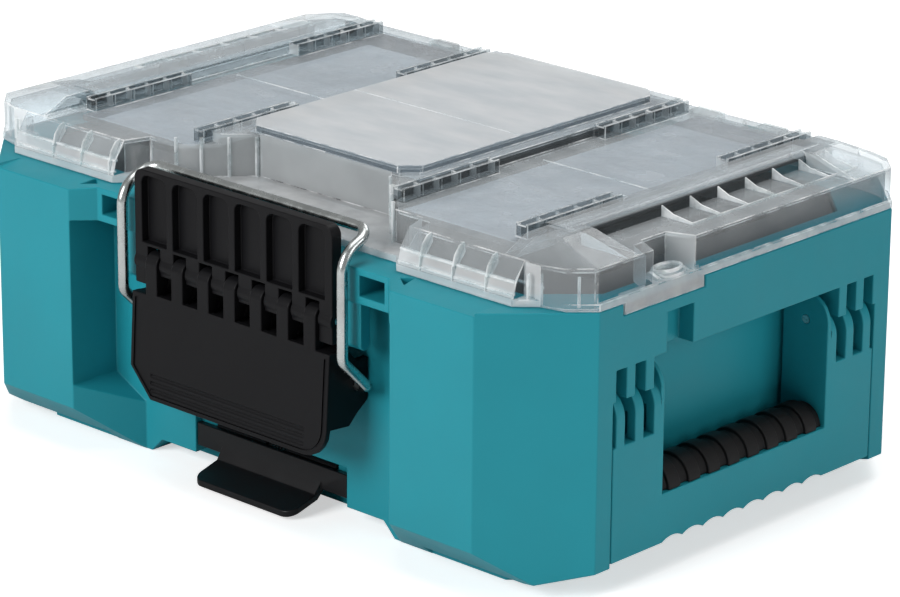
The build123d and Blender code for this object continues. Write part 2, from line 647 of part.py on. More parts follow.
def latch_plate_screws():
    """Screws through the rim beam into the latch plate, as one group."""
    screws = []
    for x, z in plate_screw_places():
        seat = PLATE_BACK + PLATE_SCREW_GRIP
        shank = rod_y(x, z, PLATE_SCREW_RADIUS, PLATE_BACK - PLATE_SCREW_DEPTH, seat)
        head = rod_y(x, z, SCREW_HEAD_RADIUS, seat, seat + SCREW_HEAD_HEIGHT)
        screws.append(shank + head)
    return Compound(children=screws)


def lever_front(z):
    """Y of the lever's front plane at height z."""
    top = KNUCKLE_Y - FINGER_RADIUS
    return top - LEVER_LEAN * (LEVER_TOP - z) / (LEVER_TOP - LEVER_BOTTOM)


def lever_plate():
    """Leaning front plate: one lower corner chamfered, one rounded, and grip grooves."""
    half = LEVER_WIDTH / 2
    top, low = lever_front(LEVER_TOP), lever_front(LEVER_BOTTOM)
    slab = prism_x([(top, LEVER_TOP), (low, LEVER_BOTTOM), (low + LEVER_THICK, LEVER_BOTTOM),
                    (top + LEVER_THICK, LEVER_TOP)], -half, half)
    step = FINGER_XS[-1] + FINGER_WIDTH / 2
    turns = [math.radians(a) for a in (90, 72, 54, 36, 18, 0)]
    corner = [(half - LEVER_CORNER * (1 - math.cos(a)),
               LEVER_BOTTOM + LEVER_CORNER * (1 - math.sin(a))) for a in turns]
    outline = prism_y([(-half, LEVER_SHOULDER), (-half, LEVER_BOTTOM + LEVER_CORNER),
                       (-half + LEVER_CORNER, LEVER_BOTTOM)] + corner
                      + [(half, LEVER_SHOULDER), (step, LEVER_SHOULDER), (step, LEVER_TOP),
                         (-step, LEVER_TOP), (-step, LEVER_SHOULDER)],
                      low - 1, top + LEVER_THICK + 1)
    slab &= outline
    for i in range(LEVER_GROOVES):
        z = LEVER_BOTTOM + LEVER_GROOVE_START + i * LEVER_GROOVE_PITCH
        slab -= rod_x(lever_front(z) - LEVER_GROOVE_RADIUS / 2, z, LEVER_GROOVE_RADIUS,
                      -half + LEVER_CORNER, half - LEVER_CORNER)
    return slab


def lever_cheek():
    """Side cheek that reaches back and carries the wire bail's end."""
    heel = BAIL_PIVOT_Y + CHEEK_BEHIND_PIVOT
    front = lever_front(LEVER_SHOULDER)
    foot = lever_front(CHEEK_FOOT)
    top_corner = (BAIL_PIVOT_Y - CHEEK_RISE, CHEEK_SHOULDER + CHEEK_RISE)
    low_corner = (BAIL_PIVOT_Y - CHEEK_RISE, CHEEK_HEEL - 2 * CHEEK_RISE)
    outline = [(front, LEVER_SHOULDER), (front + LEVER_THICK, LEVER_SHOULDER), top_corner,
               (BAIL_PIVOT_Y, CHEEK_SHOULDER), (heel, CHEEK_SHOULDER), (heel, CHEEK_HEEL),
               (BAIL_PIVOT_Y, CHEEK_HEEL - CHEEK_RISE), low_corner,
               (foot + LEVER_THICK, CHEEK_FOOT), (foot, CHEEK_FOOT)]
    outer = LEVER_WIDTH / 2
    cheek = prism_x(outline, outer - CHEEK_THICK, outer)
    return cheek - rod_x(BAIL_PIVOT_Y, BAIL_PIVOT_Z, WIRE_RADIUS + RUNNING, 0, outer + 1)


def lever_finger(x):
    """Hinge finger that wraps the knuckle pin."""
    half = FINGER_WIDTH / 2
    front = KNUCKLE_Y - FINGER_RADIUS
    neck = [(front, LEVER_TOP - 4), (front, KNUCKLE_Z), (KNUCKLE_Y + FINGER_RADIUS, KNUCKLE_Z),
            (front + LEVER_THICK + 1, LEVER_TOP - 4)]
    return prism_x(neck, x - half, x + half) + rod_x(KNUCKLE_Y, KNUCKLE_Z, FINGER_RADIUS,
                                                     x - half, x + half)


def latch_lever():
    """Swinging lever of the latch."""
    lever = lever_plate() + both_sides(lever_cheek())
    for x in FINGER_XS:
        lever += lever_finger(x)
    top, foot = lever_front(LEVER_SHOULDER) + 1, lever_front(CHEEK_FOOT) + 1
    rib = [(top, LEVER_SHOULDER), (top + LEVER_RIB_DEPTH, CHEEK_SHOULDER),
           (top + LEVER_RIB_DEPTH, CHEEK_HEEL), (foot, CHEEK_FOOT)]
    for x in FINGER_XS[1::2]:
        lever += prism_x(rib, x - LEVER_RIB / 2, x + LEVER_RIB / 2)
    half = LEVER_WIDTH / 2 - CHEEK_THICK / 2
    lever += block(-half, half, top, top + LEVER_WEB_DEPTH, LEVER_SHOULDER - LEVER_WEB_THICK,
                   LEVER_SHOULDER)
    return lever - rod_x(KNUCKLE_Y, KNUCKLE_Z, KNUCKLE_PIN_RADIUS + RUNNING,
                         -LEVER_WIDTH, LEVER_WIDTH)


def knuckle_pin():
    """Steel pin through the latch plate's knuckles and the lever's fingers."""
    half = PLATE_WIDTH / 2
    return rod_x(KNUCKLE_Y, KNUCKLE_Z, KNUCKLE_PIN_RADIUS, -half, half)


def wire_bail():
    """Bent wire that holds the lid down."""
    end = LEVER_WIDTH / 2 - CHEEK_THICK - BAIL_END_REACH
    rise = BAIL_PIVOT_Y - BAIL_LEG_Y
    half = [(end, BAIL_PIVOT_Y, BAIL_PIVOT_Z), (BAIL_HALF_WIDTH, BAIL_PIVOT_Y, BAIL_PIVOT_Z),
            (BAIL_HALF_WIDTH, BAIL_LEG_Y, BAIL_PIVOT_Z + rise),
            (BAIL_HALF_WIDTH, BAIL_LEG_Y, BAIL_TOP_Z - BAIL_BEND),
            (BAIL_HALF_WIDTH, BAIL_TOP_Y, BAIL_TOP_Z)]
    points = half + [(-x, y, z) for x, y, z in reversed(half)]
    bends = [BAIL_END_BEND, BAIL_LEG_BEND, BAIL_SHOULDER_BEND, BAIL_BEND]
    radii = bends + bends[::-1]
    path = FilletPolyline(*points, radius=radii)
    section = Plane(origin=path @ 0, z_dir=path % 0) * Circle(WIRE_RADIUS)
    return sweep(section, path=path)


# ---- foot latch ----
def foot_tab():
    """Tab that slopes forwards and down to a thin lip with rounded corners."""
    half = FOOT_TAB_WIDTH / 2
    front = FOOT_PIVOT_Y - FOOT_PLATE_SETBACK
    tip = front - FOOT_TAB_REACH
    out, height = FOOT_TAB_SLOPE
    back = front + FOOT_LATCH_THICK
    low = FOOT_TIP_BOTTOM + FOOT_TIP_TOP
    outline = [(back, FOOT_TAB_TOP), (front, FOOT_TAB_TOP), (front - out, height),
               (tip, FOOT_TIP_TOP), (tip, FOOT_TIP_BOTTOM), (front - out / 2, low),
               (back, FOOT_LATCH_BOTTOM)]
    tab = prism_x(outline, -half, half)
    corners = tab.edges().filter_by(Axis.Z).group_by(Axis.Y)[0]
    return fillet(corners, FOOT_TAB_CORNER)


def foot_latch():
    """Latch below the lever: plate that closes the foot window, tab and hinge barrel."""
    half = FOOT_LATCH_WIDTH / 2
    wide = WINDOW_WIDTH / 2 - MOVING_GAP
    front = FOOT_PIVOT_Y - FOOT_PLATE_SETBACK
    back = front + FOOT_LATCH_THICK
    barrel = rod_x(FOOT_PIVOT_Y, FOOT_PIVOT_Z, FOOT_BARREL_RADIUS, -half, half)
    middle = SPRING_LENGTH / 2 + MOVING_GAP
    reach = FOOT_BARREL_RADIUS + 1
    barrel -= block(-middle, middle, back, FOOT_PIVOT_Y + reach,
                    FOOT_PIVOT_Z - reach, FOOT_PIVOT_Z + reach)
    plate = block(-wide, wide, front, back, FOOT_LATCH_BOTTOM, FOOT_LATCH_TOP)
    latch = foot_tab() + plate + barrel
    return latch - rod_x(FOOT_PIVOT_Y, FOOT_PIVOT_Z, FOOT_PIN_RADIUS + RUNNING, -half - 1, half + 1)


def foot_latch_pin():
    """Pin of the foot latch, held by the ears in the window."""
    half = WINDOW_WIDTH / 2
    return rod_x(FOOT_PIVOT_Y, FOOT_PIVOT_Z, FOOT_PIN_RADIUS, -half, half)


def foot_latch_spring():
    """Return spring wound round the pin in the middle of the barrel."""
    pitch = 4 * SPRING_WIRE
    helix = Helix(pitch, SPRING_LENGTH - pitch, SPRING_RADIUS - SPRING_WIRE)
    section = Plane(origin=helix @ 0, z_dir=helix % 0) * Circle(SPRING_WIRE)
    coil = sweep(section, path=helix, is_frenet=True)
    return Pos(-SPRING_LENGTH / 2 + pitch / 2, FOOT_PIVOT_Y, FOOT_PIVOT_Z) * Rot(0, 90, 0) * coil


# ---- side handle ----
def handle_finger(centre):
    """Finger that rises from the frame plate and curls round the pin."""
    low, high = centre - HANDLE_FINGER_WIDTH / 2, centre + HANDLE_FINGER_WIDTH / 2
    bend = HANDLE_PIN_IN
    z = HANDLE_PIN_Z + HANDLE_BOSS_RADIUS - bend
    hook = rod_y(HANDLE_PIN_X, z, bend, low, high)
    hook &= block(HANDLE_PIN_X, HALF_WIDTH, low, high, z, z + bend)
    stem = block(HALF_WIDTH - HANDLE_FINGER_THICK, HALF_WIDTH, low, high, HANDLE_PLATE_TOP - 1, z)
    boss = rod_y(HANDLE_PIN_X, HANDLE_PIN_Z, HANDLE_BOSS_RADIUS, low, high)
    return hook + stem + boss


def handle_cheek():
    """Inner side of one arm, with a rounded top round the pin."""
    low, high = OPENING_Y, OPENING_Y + HANDLE_CHEEK
    radius = HANDLE_PIN_IN
    plate = block(HANDLE_PIN_X - radius, HALF_WIDTH, low, high, SIDE_FOOT, HANDLE_PIN_Z)
    return plate + rod_y(HANDLE_PIN_X, HANDLE_PIN_Z, radius, low, high)


def handle_arm():
    """One arm of the frame: outer plate with a hollow back, cheek and fingers."""
    low, high = OPENING_Y, HANDLE_SPAN / 2
    arm = block(HANDLE_BACK, HALF_WIDTH, low, high, SIDE_FOOT, HANDLE_PLATE_TOP)
    arm -= block(HANDLE_BACK - 1, HALF_WIDTH - WALL, low + HANDLE_CHEEK, high - WALL,
                 SIDE_FOOT + WALL, HANDLE_PLATE_TOP - WALL)
    arm += handle_cheek()
    for centre in finger_centres():
        arm += handle_finger(centre)
    return arm


def handle_frame():
    """Fold-out handle frame: lower bar with scalloped underside and two arms."""
    bar = block(HALF_WIDTH - HANDLE_BAR_DEPTH, HALF_WIDTH, -OPENING_Y, OPENING_Y,
                SIDE_FOOT, HANDLE_BAR_TOP)
    for i in range(HANDLE_SCALLOPS):
        y = (i - (HANDLE_SCALLOPS - 1) / 2) * HANDLE_SCALLOP_PITCH
        z = SIDE_FOOT + HANDLE_SCALLOP_DEPTH - HANDLE_SCALLOP_RADIUS
        bar -= rod_x(y, z, HANDLE_SCALLOP_RADIUS, HANDLE_BACK - HANDLE_BAR_DEPTH, HALF_WIDTH + 1)
    frame = bar + both_ends(handle_arm())
    hole = rod_y(HANDLE_PIN_X, HANDLE_PIN_Z, HANDLE_PIN_RADIUS + RUNNING,
                 OPENING_Y - 1, HANDLE_SPAN / 2 + 1)
    return frame - both_ends(hole)


def handle_grip():
    """Ribbed soft grip on top of the lower bar."""
    x = HALF_WIDTH - GRIP_RADIUS - GRIP_SETBACK
    half = OPENING_Y
    grip = rod_y(x, HANDLE_BAR_TOP, GRIP_RADIUS - GRIP_VALLEY, -half, half)
    for i in range(GRIP_RIBS):
        y = (i - (GRIP_RIBS - 1) / 2) * GRIP_RIB_PITCH
        grip += rod_y(x, HANDLE_BAR_TOP, GRIP_RADIUS, y - GRIP_RIB_WIDTH / 2, y + GRIP_RIB_WIDTH / 2)
    return grip & block(0, HALF_WIDTH, -half, half, HANDLE_BAR_TOP, HANDLE_PIN_Z)


def handle_pin(side):
    """Hinge pin of the handle, on the front (-1) or rear (1) side."""
    ends = sorted((side * OPENING_Y, side * (HANDLE_SPAN / 2 + 1)))
    return rod_y(HANDLE_PIN_X, HANDLE_PIN_Z, HANDLE_PIN_RADIUS, ends[0], ends[1])


# ---- lid ----
def lid_flange_outline():
    """Edge of the flange: corner lobes in front and at the rear, ledge behind the bail."""
    half, lobe = LID_FLANGE_Y, LID_FLANGE_INNER
    corner = HALF_DEPTH - CORNER_CHAMFER
    cut = LID_CORNER_CUT
    step = LID_CORNER_X - LID_LOBE_SLANT
    right = [(lobe - LID_LOBE_SLANT, LID_LEDGE_Y), (lobe + LID_LOBE_SLANT, -half),
             (LID_BAND_X, -half), (step, -LID_BODY_Y), (HALF_WIDTH - cut, -corner - cut),
             (HALF_WIDTH, -corner), (HALF_WIDTH, corner), (HALF_WIDTH - cut, corner + cut),
             (step, LID_BODY_Y), (LID_BAND_X, half)]
    return right + [(-x, y) for x, y in reversed(right)]


def lid_body_outline():
    """Outline of the raised lid: set back in front, with the wide notch behind the latch."""
    half = LID_BODY_Y
    corner = HALF_DEPTH - CORNER_CHAMFER
    cut, slant = LID_CORNER_CUT, LID_LOBE_SLANT
    right = [(LID_NOTCH_INNER, LID_NOTCH_BACK), (LID_NOTCH_OUTER, LID_NOTCH_FRONT),
             (LID_NOTCH_OUTER + LID_SHOULDER, BLOCK_FRONT), (LID_FLANGE_INNER, BLOCK_FRONT),
             (LID_FLANGE_INNER + slant, -half), (LID_CORNER_X - slant, -half),
             (LID_SIDE_X - cut, -corner - cut), (LID_SIDE_X, -corner), (LID_SIDE_X, corner),
             (LID_SIDE_X - cut, corner + cut), (LID_CORNER_X - slant, half)]
    return right + [(-x, y) for x, y in reversed(right)]


def block_outline():
    """Centre block of the lid."""
    front = LID_NOTCH_FRONT + BLOCK_SETBACK
    right = [(LID_NOTCH_INNER, LID_NOTCH_BACK), (LID_NOTCH_OUTER - BLOCK_SETBACK, front),
             (BLOCK_HALF_WIDTH, front), (BLOCK_HALF_WIDTH, BLOCK_REAR)]
    return right + [(-x, y) for x, y in reversed(right)]


def panel_outline():
    """Raised centre panel."""
    right = [(PANEL_HALF_WIDTH - PANEL_CORNER, PANEL_FRONT),
             (PANEL_HALF_WIDTH, PANEL_FRONT + PANEL_CORNER),
             (PANEL_HALF_WIDTH, PANEL_REAR - PANEL_CORNER),
             (PANEL_HALF_WIDTH - PANEL_CORNER, PANEL_REAR)]
    return right + [(-x, y) for x, y in reversed(right)]


def hollow(points, z_low, z_high):
    """Inside of a tier: its outline drawn in by the lid's wall."""
    face = offset(make_face(Polyline(*points, close=True)), amount=-LID_WALL,
                  kind=Kind.INTERSECTION)
    return Pos(0, 0, z_low) * extrude(face, z_high - LID_WALL - z_low)


def band_profile(inset):
    """(y, z) outline of the front band and the slope above it, drawn in by inset."""
    out, body = -LID_FLANGE_Y + inset, -LID_BODY_Y + inset
    back = -LID_BODY_Y + LID_WALL + 1
    return [(back, LID_BOTTOM), (out, LID_BOTTOM), (out + LID_BAND_LEAN, LID_BAND_TOP),
            (body, LID_SIDE_TOP - inset), (back, LID_SIDE_TOP - inset)]


def band():
    """Bright stepped band with a slope above it, on both lobes and both ends."""
    return both_sides(both_ends(prism_x(band_profile(0), LID_FLANGE_INNER + LID_LOBE_SLANT,
                                        LID_BAND_X)))


def band_hollow():
    """Inside of the bands."""
    inside = prism_x(band_profile(LID_WALL), LID_FLANGE_INNER + LID_LOBE_SLANT + LID_WALL,
                     LID_BAND_X - LID_WALL)
    mouth = block(LID_FLANGE_INNER + LID_LOBE_SLANT + LID_WALL, LID_BAND_X - LID_WALL,
                  -LID_FLANGE_Y + LID_WALL, -LID_BODY_Y + LID_WALL + 1,
                  LID_BOTTOM - 1, LID_BOTTOM + 1)
    return both_sides(both_ends(inside + mouth))


def corner_roof(inset):
    """Faceted roof from the corner walls up to the ridge's end, drawn in by inset."""
    half, corner = LID_BODY_Y, HALF_DEPTH - CORNER_CHAMFER
    low = [(ROOF_INNER, -half), (LID_CORNER_X - LID_LOBE_SLANT, -half),
           (LID_SIDE_X - LID_CORNER_CUT, -corner - LID_CORNER_CUT), (LID_SIDE_X, -corner),
           (LID_SIDE_X, -ROOF_REACH), (ROOF_INNER, -ROOF_REACH)]
    x, y = ROOF_CREST
    cut = ROOF_CREST_CUT
    high = [(ROOF_INNER, -y), (x - cut, -y), (x - cut / 2, -y + cut / 2), (x, -y + cut),
            (x, -ROOF_REACH - 1), (ROOF_INNER, -ROOF_REACH - 1)]
    faces = [make_face(Polyline(*points, close=True)) for points in (low, high)]
    if inset:
        faces = [offset(face, amount=-inset, kind=Kind.INTERSECTION) for face in faces]
    lower = Pos(0, 0, LID_SIDE_TOP - inset) * faces[0]
    upper = Pos(0, 0, ROOF_TOP - inset) * faces[1]
    roof = loft([lower, upper], ruled=True)
    return both_sides(both_ends(roof))


def ridge():
    """Long rounded ridge on the right of the lid."""
    bar = block(RIDGE_INNER, RIDGE_OUTER, RIDGE_FRONT, RIDGE_REAR, LID_SIDE_TOP - 1, RIDGE_TOP)
    long_edges = bar.edges().filter_by(Axis.Y).group_by(Axis.Z)[-1]
    return fillet(long_edges, RIDGE_ROUND)


def ridge_hollow():
    """Inside of that ridge."""
    return block(RIDGE_INNER + LID_WALL, RIDGE_OUTER - LID_WALL, RIDGE_FRONT + LID_WALL,
                 RIDGE_REAR - LID_WALL, LID_SIDE_TOP - LID_WALL - 1, RIDGE_TOP - LID_WALL)


def clip_strip(x, ends):
    """Two thin rails with cross ribs, where the case above locks on."""
    low, high = ends
    floor = LID_SIDE_TOP - 0.5
    half = CLIP_WIDTH / 2
    strip = block(x - half, x - half + CLIP_RAIL, low, high, floor, CLIP_TOP)
    strip += block(x + half - CLIP_RAIL, x + half, low, high, floor, CLIP_TOP)
    for i in range(CLIP_RIBS):
        y = low + (high - low - CLIP_RAIL) * i / (CLIP_RIBS - 1)
        strip += block(x - half, x + half, y, y + CLIP_RAIL, floor, CLIP_TOP - 1)
    return strip


def side_tab():
    """Skirt on the handle side that drops over the rim."""
    return block(HALF_WIDTH - TAB_THICK, HALF_WIDTH, TAB_FROM, TAB_TO,
                 LID_BOTTOM - TAB_DROP, LID_BOTTOM + LID_FLANGE_THICK)


def side_setback():
    """Setback in the long side wall above the tab."""
    back = HALF_WIDTH - SETBACK_DEPTH
    plan = [(HALF_WIDTH + 1, SETBACK_MOUTH[0]), (back, SETBACK_THROAT[0]),
            (back, SETBACK_THROAT[1]), (HALF_WIDTH + 1, SETBACK_MOUTH[1])]
    return prism(plan, LID_BOTTOM + LID_FLANGE_THICK, LID_SIDE_TOP + 1)


def side_setback_wall():
    """Wall that closes the lid round that setback."""
    back, grow = HALF_WIDTH - SETBACK_DEPTH - LID_WALL, LID_WALL
    outer = prism([(HALF_WIDTH, SETBACK_MOUTH[0] - grow), (back, SETBACK_THROAT[0] - grow),
                   (back, SETBACK_THROAT[1] + grow), (HALF_WIDTH, SETBACK_MOUTH[1] + grow)],
                  LID_BOTTOM, LID_SIDE_TOP)
    inside = block(0, LID_SIDE_X, -CASE_DEPTH, CASE_DEPTH, LID_BOTTOM, LID_SIDE_TOP)
    return outer & inside


def lid_knuckles():
    """Hinge knuckles at the rear of the lid, with webs to the flange."""
    knuckles = []
    for low, high in hinge_spans("lid"):
        knuckle = rod_x(HINGE_Y, HINGE_Z, HINGE_RADIUS, low, high)
        knuckle += block(low, high, LID_BODY_Y, HINGE_Y, LID_BOTTOM, LID_BOTTOM + HINGE_WEB)
        knuckles.append(knuckle)
    return both_sides(Part() + knuckles)


def lid_shell():
    """Clear moulded lid."""
    lid = prism(lid_flange_outline(), LID_BOTTOM, LID_BOTTOM + LID_FLANGE_THICK)
    lid += band()
    lid += prism(lid_body_outline(), LID_BOTTOM, LID_SIDE_TOP)
    lid += prism(block_outline(), LID_SIDE_TOP - 1, BLOCK_TOP)
    lid += prism(panel_outline(), BLOCK_TOP - 1, PANEL_TOP)
    lid += both_sides(ridge())
    lid += corner_roof(0)
    for x in CLIP_XS:
        for ends in (CLIP_FRONT, CLIP_BACK):
            lid += both_sides(clip_strip(x, ends))
    lid -= hollow(lid_body_outline(), LID_BOTTOM - 1, LID_SIDE_TOP)
    lid -= hollow(block_outline(), LID_SIDE_TOP - LID_WALL - 1, BLOCK_TOP)
    lid -= hollow(panel_outline(), BLOCK_TOP - LID_WALL - 1, PANEL_TOP)
    lid -= both_sides(ridge_hollow())
    lid -= band_hollow()
    lid -= corner_roof(LID_WALL)
    lid += side_setback_wall()
    lid -= side_setback()
    lid += side_tab()
    lid += lid_knuckles()
    return lid - rod_x(HINGE_Y, HINGE_Z, HINGE_PIN_RADIUS + RUNNING, -HALF_WIDTH, HALF_WIDTH)


def lid_hinge_pin(side):
    """Hinge pin of the lid, on the left (-1) or right (1) side."""
    last = hinge_spans("case")[-1][1]
    ends = sorted((side * HINGE_START, side * last))
    return rod_x(HINGE_Y, HINGE_Z, HINGE_PIN_RADIUS, ends[0], ends[1])


def field_pad(side):
    """Foam pad under one flat field of the lid."""
    top = LID_SIDE_TOP - LID_WALL
    low = BLOCK_HALF_WIDTH + CLIP_WIDTH
    ends = sorted((side * low, side * (RIDGE_INNER + LID_WALL - 1)))
    half = LID_BODY_Y - 2 * LID_WALL
    front = BLOCK_FRONT + 3 * LID_WALL
    return block(ends[0], ends[1], front, half, top - PAD_THICK, top)


def centre_pad():
    """Foam pad under the centre block of the lid."""
    top = BLOCK_TOP - LID_WALL
    half = BLOCK_HALF_WIDTH - 2 * LID_WALL
    return block(-half, half, LID_NOTCH_BACK + 2 * LID_WALL, BLOCK_REAR - 2 * LID_WALL,
                 top - PAD_THICK, top)


# ---- insert, spindle and knob ----
def bin_box(grow, z_low, z_high):
    """Box of the right side bin, larger by grow."""
    return block(BIN_INNER - grow, BIN_INNER + BIN_WIDTH + grow, -BIN_LENGTH / 2 - grow,
                 BIN_LENGTH / 2 + grow, z_low, z_high)


def insert_tray():
    """Dark moulded insert: deck, round blade well and two side bins."""
    half_x = RIM_OPENING_X - INSERT_CLEARANCE
    half_y = RIM_OPENING_Y - INSERT_CLEARANCE
    tray = prism(octagon(half_x, half_y, RIM_OPENING_CHAMFER), DECK_TOP - DECK_THICK, DECK_TOP)
    tray += rod_z(0, 0, WELL_RADIUS + INSERT_WALL, FLOOR_Z, DECK_TOP)
    tray += both_sides(bin_box(INSERT_WALL, BIN_FLOOR - INSERT_WALL, DECK_TOP))
    front = -PEDESTAL_Y + WINDOW_DEPTH + WALL + INSERT_CLEARANCE
    tray -= block(-half_x, half_x, -HALF_DEPTH, front, 0, WINDOW_HEIGHT + WALL + INSERT_CLEARANCE)
    tray -= rod_z(0, 0, WELL_RADIUS, FLOOR_Z + INSERT_WALL, DECK_TOP + 1)
    tray += well_front_wall(front)
    tray -= both_sides(bin_box(0, BIN_FLOOR, DECK_TOP + 1))
    for x, y in insert_screw_places():
        tray -= rod_z(x, y, SCREW_RADIUS + RUNNING, 0, FLOOR_Z + INSERT_WALL + 1)
    return tray


def well_front_wall(front):
    """Flat that closes the well where it passes the foot latch pocket."""
    top = WINDOW_HEIGHT + WALL + INSERT_CLEARANCE
    round_part = rod_z(0, 0, WELL_RADIUS + INSERT_WALL, FLOOR_Z, top + INSERT_WALL)
    flat = block(-HALF_WIDTH, HALF_WIDTH, front, front + INSERT_WALL, FLOOR_Z, top + INSERT_WALL)
    cap = block(-HALF_WIDTH, HALF_WIDTH, -HALF_DEPTH, front + INSERT_WALL, top, top + INSERT_WALL)
    return round_part & (flat + cap)


def insert_screw_places():
    """Centres of the screws that hold the insert to the case floor."""
    turns = [math.radians(45 + 90 * i) for i in range(4)]
    return [(INSERT_SCREW_CIRCLE * math.cos(a), INSERT_SCREW_CIRCLE * math.sin(a)) for a in turns]


def insert_screws():
    """Screws through the insert's floor into the case floor, as one group."""
    screws = []
    top = FLOOR_Z + INSERT_WALL
    for x, y in insert_screw_places():
        shank = rod_z(x, y, SCREW_RADIUS, FLOOR_Z - INSERT_SCREW_DEPTH, top)
        screws.append(shank + rod_z(x, y, SCREW_HEAD_RADIUS, top, top + SCREW_HEAD_HEIGHT))
    return Compound(children=screws)


def blade_post():
    """Spindle that the saw blades are stacked on."""
    floor = FLOOR_Z + INSERT_WALL
    post = rod_z(0, 0, POST_BASE_RADIUS, floor, floor + POST_BASE_THICK)
    post += rod_z(0, 0, POST_RADIUS, floor, POST_TOP)
    return post + rod_z(0, 0, THREAD_RADIUS, POST_TOP - 1, POST_TOP + THREAD_LENGTH)


def blade_knob():
    """Lobed knob that clamps the blades."""
    low = POST_TOP + SEAT_GAP
    knob = rod_z(0, 0, KNOB_RADIUS, low, low + KNOB_HEIGHT)
    for i in range(KNOB_LOBES):
        turn = math.radians(360 * i / KNOB_LOBES)
        reach = KNOB_RADIUS + KNOB_LOBE_RADIUS / 2
        knob -= rod_z(reach * math.cos(turn), reach * math.sin(turn), KNOB_LOBE_RADIUS,
                      low - 1, low + KNOB_HEIGHT + 1)
    return knob - rod_z(0, 0, THREAD_RADIUS + RUNNING, low - 1, POST_TOP + THREAD_LENGTH + SEAT_GAP)


def nodes():
    """Every sub-part under its node name."""
    return {
        "case_body": case_body(),
        "latch_plate": latch_plate(),
        "latch_plate_screws": latch_plate_screws(),
        "knuckle_pin": knuckle_pin(),
        "latch_lever": latch_lever(),
        "wire_bail": wire_bail(),
        "foot_latch": foot_latch(),
        "foot_latch_pin": foot_latch_pin(),
        "foot_latch_spring": foot_latch_spring(),
        "handle_frame": handle_frame(),
        "handle_grip": handle_grip(),
        "handle_pin_front": handle_pin(-1),
        "handle_pin_rear": handle_pin(1),
        "lid_shell": lid_shell(),
        "lid_pad_left": field_pad(-1),
        "lid_pad_right": field_pad(1),
        "lid_pad_centre": centre_pad(),
        "lid_hinge_pin_left": lid_hinge_pin(-1),
        "lid_hinge_pin_right": lid_hinge_pin(1),
        "insert_tray": insert_tray(),
        "insert_screws": insert_screws(),
        "blade_post": blade_post(),
        "blade_knob": blade_knob(),
    }


def main():
    """Write one STEP file for each sub-part."""
    os.makedirs("parts", exist_ok=True)
    for name, shape in nodes().items():
        export_step(shape, "parts/" + name + ".step")
        print(name, round(shape.volume))


if __name__ == "__main__":
    main()
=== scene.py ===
import math

import bmesh
import bpy
from bpy.props import FloatProperty, FloatVectorProperty, IntProperty, PointerProperty
from mathutils import Matrix, Vector


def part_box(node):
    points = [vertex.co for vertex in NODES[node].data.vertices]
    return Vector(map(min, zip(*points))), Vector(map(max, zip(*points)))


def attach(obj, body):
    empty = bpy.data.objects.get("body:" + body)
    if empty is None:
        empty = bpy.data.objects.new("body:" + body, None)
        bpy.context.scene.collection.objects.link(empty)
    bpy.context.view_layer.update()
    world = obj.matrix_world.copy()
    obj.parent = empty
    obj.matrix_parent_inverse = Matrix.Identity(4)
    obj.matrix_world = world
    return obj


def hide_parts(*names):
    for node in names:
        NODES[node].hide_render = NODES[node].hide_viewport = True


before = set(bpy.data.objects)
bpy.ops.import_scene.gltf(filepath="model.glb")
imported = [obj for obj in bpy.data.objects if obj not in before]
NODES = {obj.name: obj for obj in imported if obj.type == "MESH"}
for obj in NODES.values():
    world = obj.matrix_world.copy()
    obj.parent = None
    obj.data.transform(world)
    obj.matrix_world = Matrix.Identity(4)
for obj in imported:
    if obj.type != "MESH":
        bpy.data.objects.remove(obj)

bl_info = {
    "name": "Saw Blade Storage Case",
    "version": (1, 0, 0),
    "blender": (4, 5, 0),
    "location": "3D View > Sidebar > Case",
    "description": "Finishes and fine detail for a moulded storage case with a clear lid",
    "category": "Object",
}

# Lengths are in metres and angles in degrees. +X is the handle's side, -Y the front, +Z up.
LID_LOW, LID_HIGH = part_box("lid_shell")
LEVER_LOW, LEVER_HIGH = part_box("latch_lever")

# Heights on the lid
RIM = LID_HIGH.z - 0.0277           # where the lid meets the case
SKIRT_TOP = RIM + 0.0030
FLANGE_TOP = RIM + 0.0045
BAND_LOW = RIM + 0.0107             # foot of the slope on the front band
FIELD = LID_HIGH.z - 0.0085         # low fields beside the centre panel
RIDGE_LOW = FIELD + 0.0005
PANEL_LOW = LID_HIGH.z - 0.0040
PANEL_TOP = LID_HIGH.z - 0.0005

# Places on the lid
CHANNEL = (0.1600, 0.1775, -0.0270, 0.0880)     # side channel: inner x, outer x, front y, rear y
FIELD_CUTS_X = (0.070, 0.130)
FIELD_CUTS_Y = (-0.070, 0.020, 0.110)
NOTCH_FRONT = -0.100
BAND_FRONT = -0.112
TAB = (0.1818, -0.0490)                         # boss on the side tab: x, y

# Material slots of the lid; every slot but TOP paints light and shade on the clear plastic
TOP, EDGE, WALL, FRONT, BRIGHT, CHANNEL_FLOOR, SKIRT, SHADE, BAND = range(9)

# Lever's border line
BORDER_TOP = LEVER_LOW.z + 0.0470
LEVER_LEAN = 0.0030 / 0.0500        # how far the front leans back with height

# Merging and rounding
JOIN = 1e-5                         # corners closer than this are one
FLAT_ANGLE = 0.8                    # faces closer than this in angle are one
CORNER_ANGLE = 32.0                 # corners sharper than this are rounded
SHARP_ANGLE = 35.0                  # edges sharper than this are shaded sharp
SPARE = 1e-4                        # slivers that rounding leaves are merged up to this
FOLD_AREA = 5e-6                    # most area by which a rounded face may fold over, in m2
TRIALS = 5                          # rounds of leaving out edges that fold a face
RUNS_ON = -0.85                     # cosine below which two edges count as one line
LEAST_SINE = 1e-6

# Stage
LIGHT_TARGET = (0.0, 0.0, 0.08)
CAMERA_TARGET = (0.00907, 0.0, 0.06951)
FLOOR_REACH = 6.0


